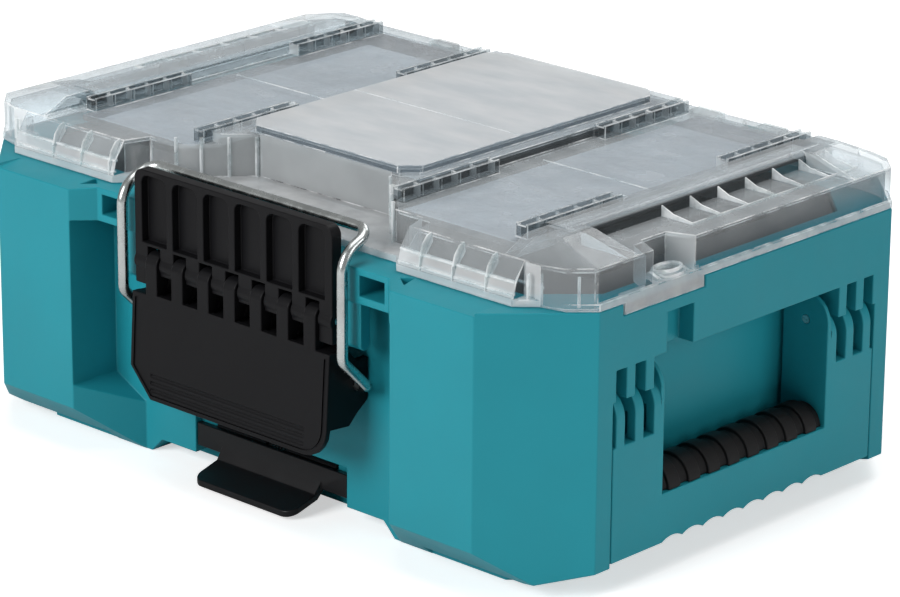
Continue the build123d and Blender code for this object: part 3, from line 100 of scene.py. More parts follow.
def colour_property(name, description, default):
    """Colour shown in the panel."""
    return FloatVectorProperty(name=name, description=description, subtype="COLOR",
                               size=3, min=0.0, max=1.0, default=default)


def length_property(name, description, default):
    """Length in metres shown in the panel."""
    return FloatProperty(name=name, description=description, unit="LENGTH",
                         precision=5, min=0.0, default=default)


def share_property(name, description, default):
    """Share from 0 to 1 shown in the panel."""
    return FloatProperty(name=name, description=description, subtype="FACTOR",
                         min=0.0, max=1.0, default=default)


def power_property(name, description, default):
    """Power in watts shown in the panel."""
    return FloatProperty(name=name, description=description, unit="POWER",
                         min=0.0, default=default)


def angle_property(name, description, degrees):
    """Angle shown in the panel in degrees."""
    return FloatProperty(name=name, description=description, unit="ROTATION",
                         default=math.radians(degrees))


# ---- settings ----
class CaseSettings(bpy.types.PropertyGroup):
    """Moulded case and handle."""
    colour: colour_property("Case colour", "Colour of the moulded case", (0.014, 0.262, 0.322))
    edge: length_property("Edge rounding", "Radius on the moulded edges", 0.0006)
    grain: share_property("Grain", "Strength of the moulded grain", 0.05)
    grip: colour_property("Grip colour", "Colour of the rubber grip", (0.006, 0.006, 0.0065))
    grip_edge: length_property("Grip rounding", "Radius on the grip's edges", 0.0007)


class LatchSettings(bpy.types.PropertyGroup):
    """Front latch, wire bail and foot latch."""
    colour: colour_property("Latch colour", "Colour of the latch parts", (0.007, 0.007, 0.008))
    edge: length_property("Edge rounding", "Radius on the latch's edges", 0.0005)
    line: length_property("Border line", "Width of the raised line on the lever", 0.0008)
    wire: colour_property("Wire colour", "Colour of the zinc plated wire", (0.52, 0.55, 0.545))
    wire_edge: length_property("Wire rounding", "Radius on the wire's ends", 0.0006)


class LidSettings(bpy.types.PropertyGroup):
    """Clear lid."""
    tint: colour_property("Lid tint", "Tint of the clear lid", (0.885, 0.925, 0.945))
    # The pale haze colours the lid's edges, skirt and bright faces, where it paints highlights.
    pale: colour_property("Pale haze", "Haze of the lid's bright edges", (0.94, 0.975, 1.0))
    edge: length_property("Edge rounding", "Radius on the lid's edges", 0.0004)
    rib: length_property("Rib thickness", "Thickness of the lid's ribs", 0.0010)
    rib_edge: length_property("Rib rounding", "Radius on the ribs' edges", 0.00018)
    rib_pitch: length_property("Rib pitch", "Spacing of the lid's ribs", 0.0192)
    side_ribs: IntProperty(name="Side ribs", description="Ribs along each side channel",
                           default=7, min=2, max=16)


class InsideSettings(bpy.types.PropertyGroup):
    """Insert, pads, spindle and knob."""
    insert: colour_property("Insert colour", "Colour of the moulded insert", (0.045, 0.048, 0.053))
    foam: colour_property("Foam colour", "Colour of the foam pads", (0.595, 0.62, 0.665))
    foam_edge: length_property("Foam rounding", "Radius on the pads' edges", 0.0009)
    knob: colour_property("Knob colour", "Colour of the blade knob", (0.02, 0.02, 0.022))
    knob_edge: length_property("Knob rounding", "Radius on the knob's edges", 0.0008)
    steel: colour_property("Steel colour", "Colour of pins, screws and spindle", (0.55, 0.56, 0.58))


class StageSettings(bpy.types.PropertyGroup):
    """Floor, lights and camera."""
    floor: colour_property("Floor colour", "Colour of the floor", (0.88, 0.88, 0.88))
    key: power_property("Key light", "Power of the light in front", 54.0)
    top: power_property("Top light", "Power of the light overhead", 29.0)
    side: power_property("Side light", "Power of the light on the handle's side", 15.0)
    back: power_property("Back light", "Power of the light behind", 16.0)
    world: share_property("Surroundings", "Strength of the surroundings as light", 0.09)
    mirrored: share_property("Mirrored", "Strength of the surroundings in reflections", 0.34)
    azimuth: angle_property("Azimuth", "Camera's turn round the case", 43.015)
    elevation: angle_property("Elevation", "Camera's height angle", 19.066)
    roll: angle_property("Roll", "Camera's roll", 0.4246)
    distance: length_property("Distance", "Camera's distance from its target", 1.9563)
    lens: FloatProperty(name="Lens", description="Camera's focal length in millimetres",
                        unit="CAMERA", min=1.0, default=166.81)


# ---- node trees ----
class Look:
    """Node tree of a material or world, with helpers that add nodes and link them."""

    def __init__(self, data, output="ShaderNodeOutputMaterial"):
        data.use_nodes = True
        self.data = data
        self.nodes, self.links = data.node_tree.nodes, data.node_tree.links
        self.nodes.clear()
        self.output = self.nodes.new(output)

    def add(self, kind, inputs=None, operation=None):
        """Adds a node; each input is a value to set or a socket to link."""
        node = self.nodes.new(kind)
        if operation:
            node.operation = operation
        for key, value in (inputs or {}).items():
            if isinstance(value, bpy.types.NodeSocket):
                self.links.new(value, node.inputs[key])
            else:
                node.inputs[key].default_value = value
        return node

    def place(self):
        """Object coordinates."""
        return self.add("ShaderNodeTexCoord").outputs["Object"]

    def noise(self, scale, detail, stretch=(1.0, 1.0, 1.0)):
        """Noise on Object coordinates."""
        mapping = self.add("ShaderNodeMapping", {"Vector": self.place(), "Scale": stretch})
        return self.add("ShaderNodeTexNoise", {"Vector": mapping.outputs["Vector"],
                                               "Scale": scale, "Detail": detail}).outputs["Fac"]

    def spread(self, value, low, high, start=0.3, end=0.7):
        """Maps a value from one range to another."""
        return self.add("ShaderNodeMapRange", {"Value": value, "From Min": start, "From Max": end,
                                               "To Min": low, "To Max": high}).outputs["Result"]

    def cloud(self, value, first, second):
        """Drifts between two colours with a noise value."""
        ramp = self.add("ShaderNodeValToRGB", {"Fac": self.spread(value, 0.0, 1.0)})
        for element, colour in zip(ramp.color_ramp.elements, (first, second)):
            element.color = (*colour, 1.0)
        return ramp.outputs["Color"]

    def bump(self, height, strength, distance):
        """Normal from a height value."""
        return self.add("ShaderNodeBump", {"Height": height, "Strength": strength,
                                           "Distance": distance}).outputs["Normal"]

    def maths(self, operation, *values):
        """Result of a Math node."""
        return self.add("ShaderNodeMath", dict(enumerate(values)), operation).outputs["Value"]

    def mix(self, share, first, second):
        """Mixes two shaders; a share of 0 is the first."""
        return self.add("ShaderNodeMixShader", {"Fac": share, 1: first, 2: second}).outputs[0]

    def principled(self, inputs):
        """Principled shader with these inputs."""
        return self.add("ShaderNodeBsdfPrincipled", inputs).outputs["BSDF"]

    def finish(self, shader):
        """Links a shader to the output and returns the material or world."""
        self.links.new(shader, self.output.inputs["Surface"])
        return self.data


def new_look(name):
    """Empty node material."""
    return Look(bpy.data.materials.new(name))


def scaled(colour, factor):
    """A colour times a factor."""
    return tuple(min(1.0, channel * factor) for channel in colour)


# ---- finishes ----
def moulded_plastic(name, colour, roughness, grain, shine=0.24, contrast=0.05):
    """Moulded plastic with fine grain and faint patches from handling."""
    look = new_look(name)
    return look.finish(look.principled({
        "Specular IOR Level": shine,
        "Base Color": look.cloud(look.noise(14.0, 4.0), scaled(colour, 1 - contrast),
                                 scaled(colour, 1 + contrast)),
        "Roughness": look.spread(look.noise(55.0, 6.0), roughness - 0.05, roughness + 0.06),
        "Normal": look.bump(look.noise(1400.0, 2.0), grain, 0.0003),
    }))


def plated_metal(name, colour, roughness, stretch=(1.0, 1.0, 1.0)):
    """Plated or drawn steel with fine streaks."""
    look = new_look(name)
    streaks = look.noise(700.0, 3.0, stretch)
    return look.finish(look.principled({
        "Metallic": 1.0,
        "Base Color": look.cloud(look.noise(160.0, 5.0, stretch), scaled(colour, 0.86),
                                 scaled(colour, 1.12)),
        "Roughness": look.spread(streaks, roughness - 0.06, roughness + 0.08),
        "Normal": look.bump(streaks, 0.08, 0.0002),
    }))


def soft_rubber(name, colour):
    """Soft moulded rubber with a fine matt texture."""
    look = new_look(name)
    return look.finish(look.principled({
        "Specular IOR Level": 0.2,
        "Base Color": look.cloud(look.noise(40.0, 4.0), scaled(colour, 0.85),
                                 scaled(colour, 1.25)),
        "Roughness": look.spread(look.noise(90.0, 5.0), 0.42, 0.58),
        "Normal": look.bump(look.noise(1800.0, 2.0), 0.10, 0.0003),
    }))


def foam(name, colour):
    """Closed-cell foam with low waves."""
    look = new_look(name)
    return look.finish(look.principled({
        "Sheen Weight": 0.15,
        "Base Color": look.cloud(look.noise(22.0, 4.0), scaled(colour, 0.92),
                                 scaled(colour, 1.06)),
        "Roughness": look.spread(look.noise(300.0, 3.0), 0.75, 0.92),
        "Normal": look.bump(look.noise(60.0, 2.0, (0.35, 2.6, 1.0)), 0.6, 0.002),
    }))


def clear_plastic(name, tint, haze, see, graze, roughness, glint=0.0, rise=None):
    """Clear moulded plastic: see-through face on, glossy and hazier at a grazing angle. The haze is
    a pale matt colour mixed in, partly the plastic's own haze and partly painted reflection.

    See and graze are the shares of haze face on and at a grazing angle. A glint above 0
    makes the haze come and go along the surface in painted glints. A rise of (low height,
    high height, low share, high share) makes a wall clearer at its foot and paints it
    lighter towards its top.
    low share, high share) makes a wall clearer at its foot."""
    look = new_look(name)
    through = look.add("ShaderNodeBsdfTransparent", {"Color": (*tint, 1.0)}).outputs["BSDF"]
    gloss = look.principled({
        "IOR": 1.58, "Coat Weight": 0.4, "Coat Roughness": 0.04,
        "Base Color": look.cloud(look.noise(30.0, 3.0, (1.0, 2.5, 1.0)), scaled(haze, 0.86),
                                 scaled(haze, 1.06)),
        "Roughness": look.spread(look.noise(120.0, 4.0), roughness * 0.6, roughness * 1.5),
        "Normal": look.bump(look.noise(45.0, 2.0), 0.05, 0.002),
    })
    facing = look.add("ShaderNodeLayerWeight", {"Blend": 0.35}).outputs["Facing"]
    share = look.spread(facing, see, graze, 0.1, 1.0)
    if glint:
        comes = look.spread(look.noise(95.0, 3.0), 1.0 - glint, 1.0, 0.38, 0.62)
        share = look.maths("MULTIPLY", share, comes)
    if rise:
        low, high, at_low, at_high = rise
        height = look.add("ShaderNodeSeparateXYZ", {"Vector": look.place()}).outputs["Z"]
        share = look.maths("MULTIPLY", share, look.spread(height, at_low, at_high, low, high))
    return look.finish(look.mix(share, through, gloss))


# ---- rounding ----
def corner_edges(shape, angle):
    """Edges where two faces meet at more than an angle."""
    limit = math.radians(angle)
    return [e for e in shape.edges if len(e.link_faces) == 2 and e.calc_face_angle(0.0) > limit]


def shortening(loop, vert, rounded, width):
    """What rounding takes off an edge at one end on a face, and the edge beside it there."""
    corner = loop if loop.vert == vert else loop.link_loop_next
    beside = loop.link_loop_prev.edge if loop.vert == vert else corner.edge
    if beside not in rounded:
        return 0.0, beside
    angle = corner.calc_angle() if corner.is_convex else 2 * math.pi - corner.calc_angle()
    if loop.edge in rounded:
        return width / math.tan(angle / 2), beside
    if math.cos(angle) < RUNS_ON:
        return 0.0, beside
    return width / max(LEAST_SINE, abs(math.sin(angle))), beside


def crowding(edge, rounded, width):
    """Rounded edges beside an edge that take more than its length between them."""
    ends = [[shortening(loop, vert, rounded, width) for loop in edge.link_loops]
            for vert in edge.verts]
    pairs = [([first], [last]) for first, last in zip(*ends)] if edge in rounded else [ends]
    found, room = set(), edge.calc_length() + (SPARE if edge in rounded else -SPARE)
    for pair in pairs:
        takes = [max(take for take, beside in end) for end in pair]
        if sum(takes) > room:
            order = [(round(take, 6), -vert.co.z, -vert.co.y)
                     for take, vert in zip(takes, edge.verts)]
            worst = pair[order.index(max(order))]
            found |= {beside for take, beside in worst if take > 0}
    return found


def roomy(shape, edges, width):
    """Leaves out edges whose rounding would fold a narrow face beside them."""
    rounded = set(edges)
    while True:
        tight = set()
        for edge in shape.edges:
            if edge.link_loops:
                tight |= crowding(edge, rounded, width)
        if not tight & rounded:
            return [edge for edge in edges if edge in rounded]
        rounded -= tight


def folded(shape):
    """Faces that fold over themselves, so that their triangles cover more than the face."""
    covered = {}
    for loops in shape.calc_loop_triangles():
        a, b, c = (loop.vert.co for loop in loops)
        face = loops[0].face
        covered[face] = covered.get(face, 0.0) + (b - a).cross(c - a).length / 2
    return [face for face, area in covered.items() if area - face.calc_area() > FOLD_AREA]


def bevelled(shape, edges, width, segments, slot=None):
    """Bevels edges, then merges the slivers that are left."""
    made = bmesh.ops.bevel(shape, geom=edges, offset=width, offset_type="OFFSET",
                           affect="EDGES", segments=segments, profile=0.5,
                           clamp_overlap=False, material=-1)
    if slot is not None:
        for face in made["faces"]:
            face.material_index = slot
    bmesh.ops.remove_doubles(shape, verts=shape.verts, dist=SPARE)
    bmesh.ops.dissolve_degenerate(shape, edges=shape.edges, dist=SPARE / 4)


def unfolded(shape, edges, width, segments):
    """Leaves out the edges round each face that rounding folds, found on a copy."""
    home = shape.faces.layers.int["home"]
    shape.edges.index_update()
    trial = shape.copy()
    trial.edges.ensure_lookup_table()
    bevelled(trial, [trial.edges[edge.index] for edge in edges], width, segments)
    kept = trial.faces.layers.int["home"]
    bad = {face[kept] for face in folded(trial)}
    trial.free()
    return [e for e in edges if not any(face[home] in bad for face in e.link_faces)]


def round_edges(shape, width, angle=CORNER_ANGLE, segments=2, slot=None):
    """Rounds the corners of a shape; slot gives the new faces a material slot of their own."""
    # Each face carries its number, by which a face that folds on a copy is found again.
    home = shape.faces.layers.int.new("home")
    for number, face in enumerate(shape.faces):
        face[home] = number
    edges = roomy(shape, corner_edges(shape, angle), width)
    for _ in range(TRIALS):
        fewer = unfolded(shape, edges, width, segments)
        if len(fewer) == len(edges):
            break
        edges = fewer
    bevelled(shape, edges, width, segments, slot)
    shape.faces.layers.int.remove(shape.faces.layers.int["home"])


# ---- modelling helpers ----
def merged(node):
    """The CAD node's surface as joined, flat faces."""
    shape = bmesh.new()
    shape.from_mesh(NODES[node].data)
    bmesh.ops.remove_doubles(shape, verts=shape.verts, dist=JOIN)
    bmesh.ops.dissolve_limit(shape, angle_limit=math.radians(FLAT_ANGLE), verts=shape.verts,
                             edges=shape.edges)
    return shape


def make_piece(shape, name, body, materials):
    """Turns a bmesh into a piece that rides on a body."""
    if not shape.faces:
        raise RuntimeError(name + " has no faces")
    mesh = bpy.data.meshes.new(name)
    for face in shape.faces:
        face.smooth = True
    shape.to_mesh(mesh)
    shape.free()
    mesh.set_sharp_from_angle(angle=math.radians(SHARP_ANGLE))
    for material in materials:
        mesh.materials.append(material)
    piece = bpy.data.objects.new(name, mesh)
    bpy.context.scene.collection.objects.link(piece)
    weights = piece.modifiers.new("Weighted normals", "WEIGHTED_NORMAL")
    weights.keep_sharp = True
    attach(piece, body)
    return piece


def dressed(node, name, body, material, width, segments=2):
    """A CAD node with rounded edges, in its place."""
    shape = merged(node)
    round_edges(shape, width, segments=segments)
    piece = make_piece(shape, name, body, [material])
    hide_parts(node)


def paint(node, material):
    """Gives a CAD node a material."""
    mesh = NODES[node].data
    mesh.materials.clear()
    mesh.materials.append(material)


def verts_of(geometry):
    """Vertices among the geometry that an operator returns."""
    return [item for item in geometry if isinstance(item, bmesh.types.BMVert)]


def extruded(shape, outline, depth):
    """Adds a prism: an outline of points, pushed along a vector."""
    face = shape.faces.new([shape.verts.new(point) for point in outline])
    pushed = bmesh.ops.extrude_face_region(shape, geom=[face])["geom"]
    bmesh.ops.translate(shape, verts=verts_of(pushed), vec=depth)


def slab(shape, low, high):
    """Adds a box from its limits."""
    made = bmesh.ops.create_cube(shape, size=1.0)["verts"]
    size, centre = Vector(high) - Vector(low), (Vector(high) + Vector(low)) / 2
    bmesh.ops.scale(shape, verts=made, vec=size)
    bmesh.ops.translate(shape, verts=made, vec=centre)


def oval_ring(shape, centre, half_x, half_y, radius):
    """Adds a round bar bent to an oval that lies flat."""
    ring = bmesh.ops.create_circle(shape, segments=8, radius=radius)["verts"]
    bmesh.ops.rotate(shape, verts=ring, cent=(0, 0, 0), matrix=Matrix.Rotation(math.pi / 2, 3, "X"))
    bmesh.ops.translate(shape, verts=ring, vec=(1.0, 0.0, 0.0))
    edges = list(dict.fromkeys(e for v in ring for e in v.link_edges))
    before = set(shape.verts) - set(ring)
    bmesh.ops.spin(shape, geom=ring + edges, cent=(0, 0, 0), axis=(0, 0, 1), steps=28,
                   angle=2 * math.pi, use_merge=True)
    for vert in set(shape.verts) - before:
        out = Vector((vert.co.x, vert.co.y))
        way, extra = out.normalized(), out.length - 1.0
        vert.co.x = centre[0] + way.x * (half_x + extra)
        vert.co.y = centre[1] + way.y * (half_y + extra)
        vert.co.z += centre[2]


def mirror_sides(shape):
    """Adds the mirror image across the middle of the case."""
    copy = bmesh.ops.duplicate(shape, geom=shape.verts[:] + shape.edges[:] + shape.faces[:])["geom"]
    bmesh.ops.scale(shape, verts=verts_of(copy), vec=(-1.0, 1.0, 1.0))
    faces = [item for item in copy if isinstance(item, bmesh.types.BMFace)]
    bmesh.ops.reverse_faces(shape, faces=faces)


def closed(shape):
    """Makes all faces of simple closed solids point outwards."""
    bmesh.ops.recalc_face_normals(shape, faces=shape.faces)


# ---- case and handle ----
class CASE_OT_body(bpy.types.Operator):
    """Moulded case with rounded edges"""
    bl_idname = "case.body"
    bl_label = "Case body"

    def execute(self, context):
        settings = context.scene.case_settings
        plastic = moulded_plastic("case plastic", settings.colour[:], 0.42, settings.grain)
        dressed("case_body", "case_moulding", "case", plastic, settings.edge)
        return {"FINISHED"}


class CASE_OT_handle(bpy.types.Operator):
    """Fold-out handle with its ribbed grip"""
    bl_idname = "case.handle"
    bl_label = "Side handle"

    def execute(self, context):
        settings = context.scene.case_settings
        plastic = moulded_plastic("handle plastic", settings.colour[:], 0.42, settings.grain)
        dressed("handle_frame", "handle_moulding", "side_handle", plastic,
                settings.edge)
        rubber = soft_rubber("grip rubber", settings.grip[:])
        dressed("handle_grip", "grip_sleeve", "side_handle", rubber,
                settings.grip_edge, segments=3)
        return {"FINISHED"}


# ---- latches ----
class CASE_OT_latch(bpy.types.Operator):
    """Latch plate and lever"""
    bl_idname = "case.latch"
    bl_label = "Latch"

    def execute(self, context):
        settings = context.scene.latch_settings
        plastic = moulded_plastic("latch plastic", settings.colour[:], 0.40, 0.06,
                                  shine=0.11, contrast=0.12)
        dressed("latch_plate", "latch_plate_moulding", "case", plastic,
                settings.edge)
        dressed("latch_lever", "latch_lever_moulding", "lever", plastic,
                settings.edge)
        return {"FINISHED"}


def border_outline():
    """Corners of the border line, a little inside the lever's edge."""
    half, low, corner = LEVER_HIGH.x - 0.0026, LEVER_LOW.z + 0.0024, 0.0120
    turns = [math.radians(90 - 15 * step) for step in range(7)]
    curve = [(half - corner * (1 - math.cos(turn)), low + corner * (1 - math.sin(turn)))
             for turn in turns]
    chamfer = [(-half, BORDER_TOP), (-half, low + corner), (-half + corner, low)]
    return chamfer + curve + [(half, BORDER_TOP)]


def lever_face(z):
    """Y of the lever's leaning front at height z."""
    return LEVER_LOW.y + LEVER_LEAN * (z - LEVER_LOW.z)


class CASE_OT_latch_lines(bpy.types.Operator):
    """Raised border line on the lever's front"""
    bl_idname = "case.latch_lines"
    bl_label = "Latch lines"

    def execute(self, context):
        settings = context.scene.latch_settings
        height, sunk = 0.0009, 0.0003
        shape = bmesh.new()
        face = shape.faces.new([shape.verts.new((x, 0.0, z)) for x, z in border_outline()])
        # Known fault: the face has no normal here, so the inset moves nothing and the line
        # has no width. A shape.normal_update() before the inset would give it one.
        rim = bmesh.ops.inset_region(shape, faces=[face], thickness=settings.line,
                                     use_boundary=True, use_even_offset=True)["faces"]
        shoulder = [f for f in rim if f.calc_center_median().z > BORDER_TOP - settings.line]
        bmesh.ops.delete(shape, geom=[face] + shoulder, context="FACES")
        raised = bmesh.ops.extrude_face_region(shape, geom=shape.faces[:])["geom"]
        bmesh.ops.translate(shape, verts=verts_of(raised), vec=(0.0, -height, 0.0))
        for vert in shape.verts:
            vert.co.y += lever_face(vert.co.z) + sunk
        closed(shape)
        plastic = moulded_plastic("latch line plastic", settings.colour[:], 0.34, 0.03,
                                  shine=0.35, contrast=0.1)
        make_piece(shape, "lever_border", "lever", [plastic])
        return {"FINISHED"}


class CASE_OT_wire(bpy.types.Operator):
    """Zinc plated wire bail"""
    bl_idname = "case.wire"
    bl_label = "Wire bail"

    def execute(self, context):
        settings = context.scene.latch_settings
        zinc = plated_metal("zinc wire", settings.wire[:], 0.24, (0.35, 0.35, 0.35))
        dressed("wire_bail", "bail_wire", "bail", zinc, settings.wire_edge)
        return {"FINISHED"}


class CASE_OT_foot_latch(bpy.types.Operator):
    """Foot latch below the lever"""
    bl_idname = "case.foot_latch"
    bl_label = "Foot latch"

    def execute(self, context):
        settings = context.scene.latch_settings
        plastic = moulded_plastic("foot latch plastic", settings.colour[:], 0.34, 0.06,
                                  shine=0.22, contrast=0.12)
        dressed("foot_latch", "foot_latch_moulding", "foot_tab", plastic,
                settings.edge)
        return {"FINISHED"}


# ---- lid ----
def painted_edge_highlight(settings):
    """Painted highlight on the lid's rounded edges and ribs: a paler, hazier copy of the clear
    plastic, with painted glints.
    """
    return clear_plastic("clear lid edge", scaled(settings.tint[:], 1.08), settings.pale[:],
                         see=0.66, graze=1.0, roughness=0.12, glint=0.70)


def lid_finishes(settings):
    """The lid's materials, in the order of its slots.

    TOP is the plain clear plastic; the others are copies with more or less haze that paint
    light and shade by the way a face turns: EDGE, BRIGHT and SKIRT carry painted highlights,
    FRONT and BAND are painted lighter, WALL, CHANNEL_FLOOR and SHADE are painted darker, and
    the wall's rise paints it lighter towards its top.
    """
    tint, pale = settings.tint[:], settings.pale[:]
    return [
        clear_plastic("clear lid top", tint, scaled(tint, 0.9),
                      see=0.14, graze=0.62, roughness=0.10, glint=0.15),
        painted_edge_highlight(settings),
        clear_plastic("clear lid wall", tint, scaled(tint, 0.40),
                      see=0.16, graze=0.50, roughness=0.08, glint=0.2,
                      rise=(RIM + 0.003, RIM + 0.019, 0.10, 1.9)),
        clear_plastic("clear lid front", tint, tint, see=0.42, graze=0.76, roughness=0.10),
        clear_plastic("clear lid bright", tint, pale, see=0.5, graze=0.8, roughness=0.12),
        clear_plastic("clear lid channel", tint, scaled(tint, 0.60),
                      see=0.20, graze=0.62, roughness=0.08),
        clear_plastic("clear lid skirt", tint, pale,
                      see=0.30, graze=0.85, roughness=0.08, glint=0.15),
        clear_plastic("clear lid shade", scaled(tint, 0.80), scaled(tint, 0.22),
                      see=0.12, graze=0.5, roughness=0.08, glint=0.2),
        clear_plastic("clear lid band", tint, tint, see=0.20, graze=0.62, roughness=0.10),
    ]


def lid_slot(face):
    """Material slot of a lid face, from the way it faces and where it is; the slot paints light and
    shade on the face.
    """
    middle, normal = face.calc_center_median(), face.normal
    if abs(normal.z) > 0.6:
        if middle.z > PANEL_TOP:
            return BRIGHT
        if middle.z < FLANGE_TOP and normal.z > 0:
            return SKIRT
        inside = CHANNEL[0] < abs(middle.x) < CHANNEL[1] and CHANNEL[2] < middle.y < CHANNEL[3]
        return CHANNEL_FLOOR if inside and abs(middle.z - FIELD) < 0.0002 else TOP
    if normal.y < -0.3 and middle.z < PANEL_LOW:
        if middle.y > NOTCH_FRONT:
            return FRONT
        return BRIGHT if middle.z < BAND_LOW and middle.y < BAND_FRONT else BAND
    if middle.z < SKIRT_TOP:
        return SKIRT
    return SHADE if middle.z > RIDGE_LOW else WALL


def cut_flats(shape):
    """Splits the level faces along the side channels and into smaller fields."""
    across, along = (1.0, 0.0, 0.0), (0.0, 1.0, 0.0)
    cuts = [((side * x, 0.0, 0.0), across) for side in (1, -1) for x in CHANNEL[:2] + FIELD_CUTS_X]
    cuts += [((0.0, y, 0.0), along) for y in CHANNEL[2:] + FIELD_CUTS_Y]
    cuts.append(((0.0, 0.0, 0.0), across))
    for point, way in cuts:
        flat = [f for f in shape.faces if abs(f.normal.z) > 0.999]
        edges = dict.fromkeys(e for f in flat for e in f.edges)
        verts = dict.fromkeys(v for f in flat for v in f.verts)
        bmesh.ops.bisect_plane(shape, geom=[*verts, *edges, *flat], plane_co=point, plane_no=way)


class CASE_OT_lid(bpy.types.Operator):
    """Clear lid with painted highlights on its rounded edges and painted light and shade on its
    faces
    """
    bl_idname = "case.lid"
    bl_label = "Clear lid"

    def execute(self, context):
        settings = context.scene.lid_settings
        shape = merged("lid_shell")
        cut_flats(shape)
        # Each face gets a slot that paints light and shade on it.
        for face in shape.faces:
            face.material_index = lid_slot(face)
        # The rounded faces take the EDGE slot, a painted highlight.
        round_edges(shape, settings.edge, slot=EDGE)
        piece = make_piece(shape, "lid_moulding", "lid", lid_finishes(settings))
        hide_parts("lid_shell")
        return {"FINISHED"}


# ---- fine ribs on the lid ----
def band_ribs(shape, settings):
    """Curved ribs across the front band, with the seam lines below them."""
    front = LID_LOW.y
    slope = [(front + 0.0078, RIM + 0.0197), (front + 0.0048, RIM + 0.0186),
             (front + 0.0018, RIM + 0.0148), (front + 0.0004, RIM + 0.0098),
             (front + 0.0040, RIM + 0.0098), (front + 0.0085, RIM + 0.0150)]
    for first, step in ((0.1035, settings.rib_pitch), (-0.0935, -settings.rib_pitch)):
        for number in range(3):
            x = first + number * step
            extruded(shape, [(x, y, z) for y, z in slope], (settings.rib, 0.0, 0.0))
            slab(shape, (x, front + 0.0002, RIM + 0.0008),
                 (x + settings.rib * 0.7, front + 0.0030, RIM + 0.0102))
    for low, high in ((0.0905, 0.1575), (-0.1575, -0.0905)):
        slab(shape, (low, front + 0.0007, RIM + 0.0046), (high, front + 0.0030, RIM + 0.0056))
        slab(shape, (low, front + 0.0020, RIM + 0.0099), (high, front + 0.0040, RIM + 0.0109))


def notch_ribs(shape, settings):
    """Upright ribs on the wall of the notch behind the latch."""
    floor, top, half = RIM + 0.0035, RIM + 0.0225, settings.rib * 0.7
    for x, y in ((0.0425, -0.0752), (0.0515, -0.0842), (0.0605, -0.0932), (0.0690, -0.1011)):
        slab(shape, (x - half, y - half, floor), (x + half, y + half, top))


def channel_ribs(shape, settings):
    """Outer rail and cross ribs of the channel outside each ridge."""
    inner, outer, front, rear = CHANNEL
    low, rail, thick = FIELD - 0.0003, FIELD + 0.0008, settings.rib * 0.8
    slab(shape, (outer - settings.rib, front, low), (outer, rear, rail))
    profile = [(inner - 0.0006, low), (outer, low), (outer, rail),
               (inner + 0.0060, FIELD + 0.0022), (inner - 0.0006, FIELD + 0.0050)]
    for number in range(settings.side_ribs):
        y = front + number * (rear - front - thick) / (settings.side_ribs - 1)
        extruded(shape, [(x, y, z) for x, z in profile], (0.0, thick, 0.0))


def rear_bumps(shape):
    """Raised blocks on the rear edge."""
    for low, high in ((0.0580, 0.0740), (0.0980, 0.1120)):
        slab(shape, (low, 0.1125, RIM + 0.0080), (high, 0.1205, RIM + 0.0172))


def corner_posts(shape):
    """Small posts and a rail inside the front corners."""
    thick = 0.0012
    for x, y in ((0.1615, -0.1165), (0.1660, -0.1130), (0.1800, -0.1050)):
        slab(shape, (x, y, RIM + 0.0012), (x + thick, y + thick, RIM + 0.0150))
    slab(shape, (0.1520, -0.1120, RIM + 0.0080), (0.1672, -0.1110, RIM + 0.0092))


def field_line(shape):
    """Fine moulding line across a field."""
    slab(shape, (0.0675, -0.0018, FIELD - 0.0002), (0.1320, -0.0011, FIELD + 0.0003))


def tab_boss(shape):
    """Two rings and four wedges on the side tab."""
    oval_ring(shape, (*TAB, RIM + 0.0062), 0.0046, 0.0080, 0.0009)
    oval_ring(shape, (*TAB, RIM + 0.0040), 0.0058, 0.0100, 0.0008)
    for y, high in ((-0.0605, 0.0068), (-0.0560, 0.0052), (-0.0410, 0.0058), (-0.0370, 0.0046)):
        extruded(shape, [(0.1768, y, RIM + 0.0032), (0.1872, y, RIM + 0.0032),
                         (0.1866, y, RIM + high * 0.7), (0.1812, y, RIM + high)],
                 (0.0, 0.0022, 0.0))


def panel_line(shape):
    """Fine moulding line across the centre panel."""
    slab(shape, (-0.0525, -0.0012, LID_HIGH.z - 0.0002), (0.0525, -0.0005, LID_HIGH.z + 0.0002))


def field_loops(shape):
    """Small raised loop on each field; the two aren't mirror images."""
    for x in (0.1300, -0.0770):
        oval_ring(shape, (x, -0.0260, FIELD + 0.0002), 0.0038, 0.0095, 0.0005)


class CASE_OT_lid_ribs(bpy.types.Operator):
    """Ribs, lines and loops moulded on the lid"""
    bl_idname = "case.lid_ribs"
    bl_label = "Lid ribs"

    def execute(self, context):
        settings = context.scene.lid_settings
        shape = bmesh.new()
        notch_ribs(shape, settings)
        channel_ribs(shape, settings)
        rear_bumps(shape)
        corner_posts(shape)
        field_line(shape)
        tab_boss(shape)
        mirror_sides(shape)
        band_ribs(shape, settings)
        panel_line(shape)
        field_loops(shape)
        closed(shape)
        round_edges(shape, settings.rib_edge, angle=50.0, segments=1)
        # The ribs, lines and loops all take the painted edge highlight.
        make_piece(shape, "lid_ribs", "lid", [painted_edge_highlight(settings)])
        return {"FINISHED"}


# ---- pads and inside ----
class CASE_OT_pads(bpy.types.Operator):
    """Foam pads under the lid"""
    bl_idname = "case.pads"
    bl_label = "Foam pads"

    def execute(self, context):
        settings = context.scene.inside_settings
        skin = foam("lid foam skin", settings.foam[:])
        # A copy of the foam darkened to 0.14 paints shade on the pads' sides.
        painted_side_shade = foam("lid foam cut", scaled(settings.foam[:], 0.14))
        for node in ("lid_pad_left", "lid_pad_right", "lid_pad_centre"):
            shape = merged(node)
            # Top faces keep the foam's colour; the sides get the painted shade.
            for face in shape.faces:
                face.material_index = 0 if face.normal.z > 0.6 else 1
            round_edges(shape, settings.foam_edge, segments=3)
            piece = make_piece(shape, node + "_foam", "lid", [skin, painted_side_shade])
            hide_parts(node)
        return {"FINISHED"}


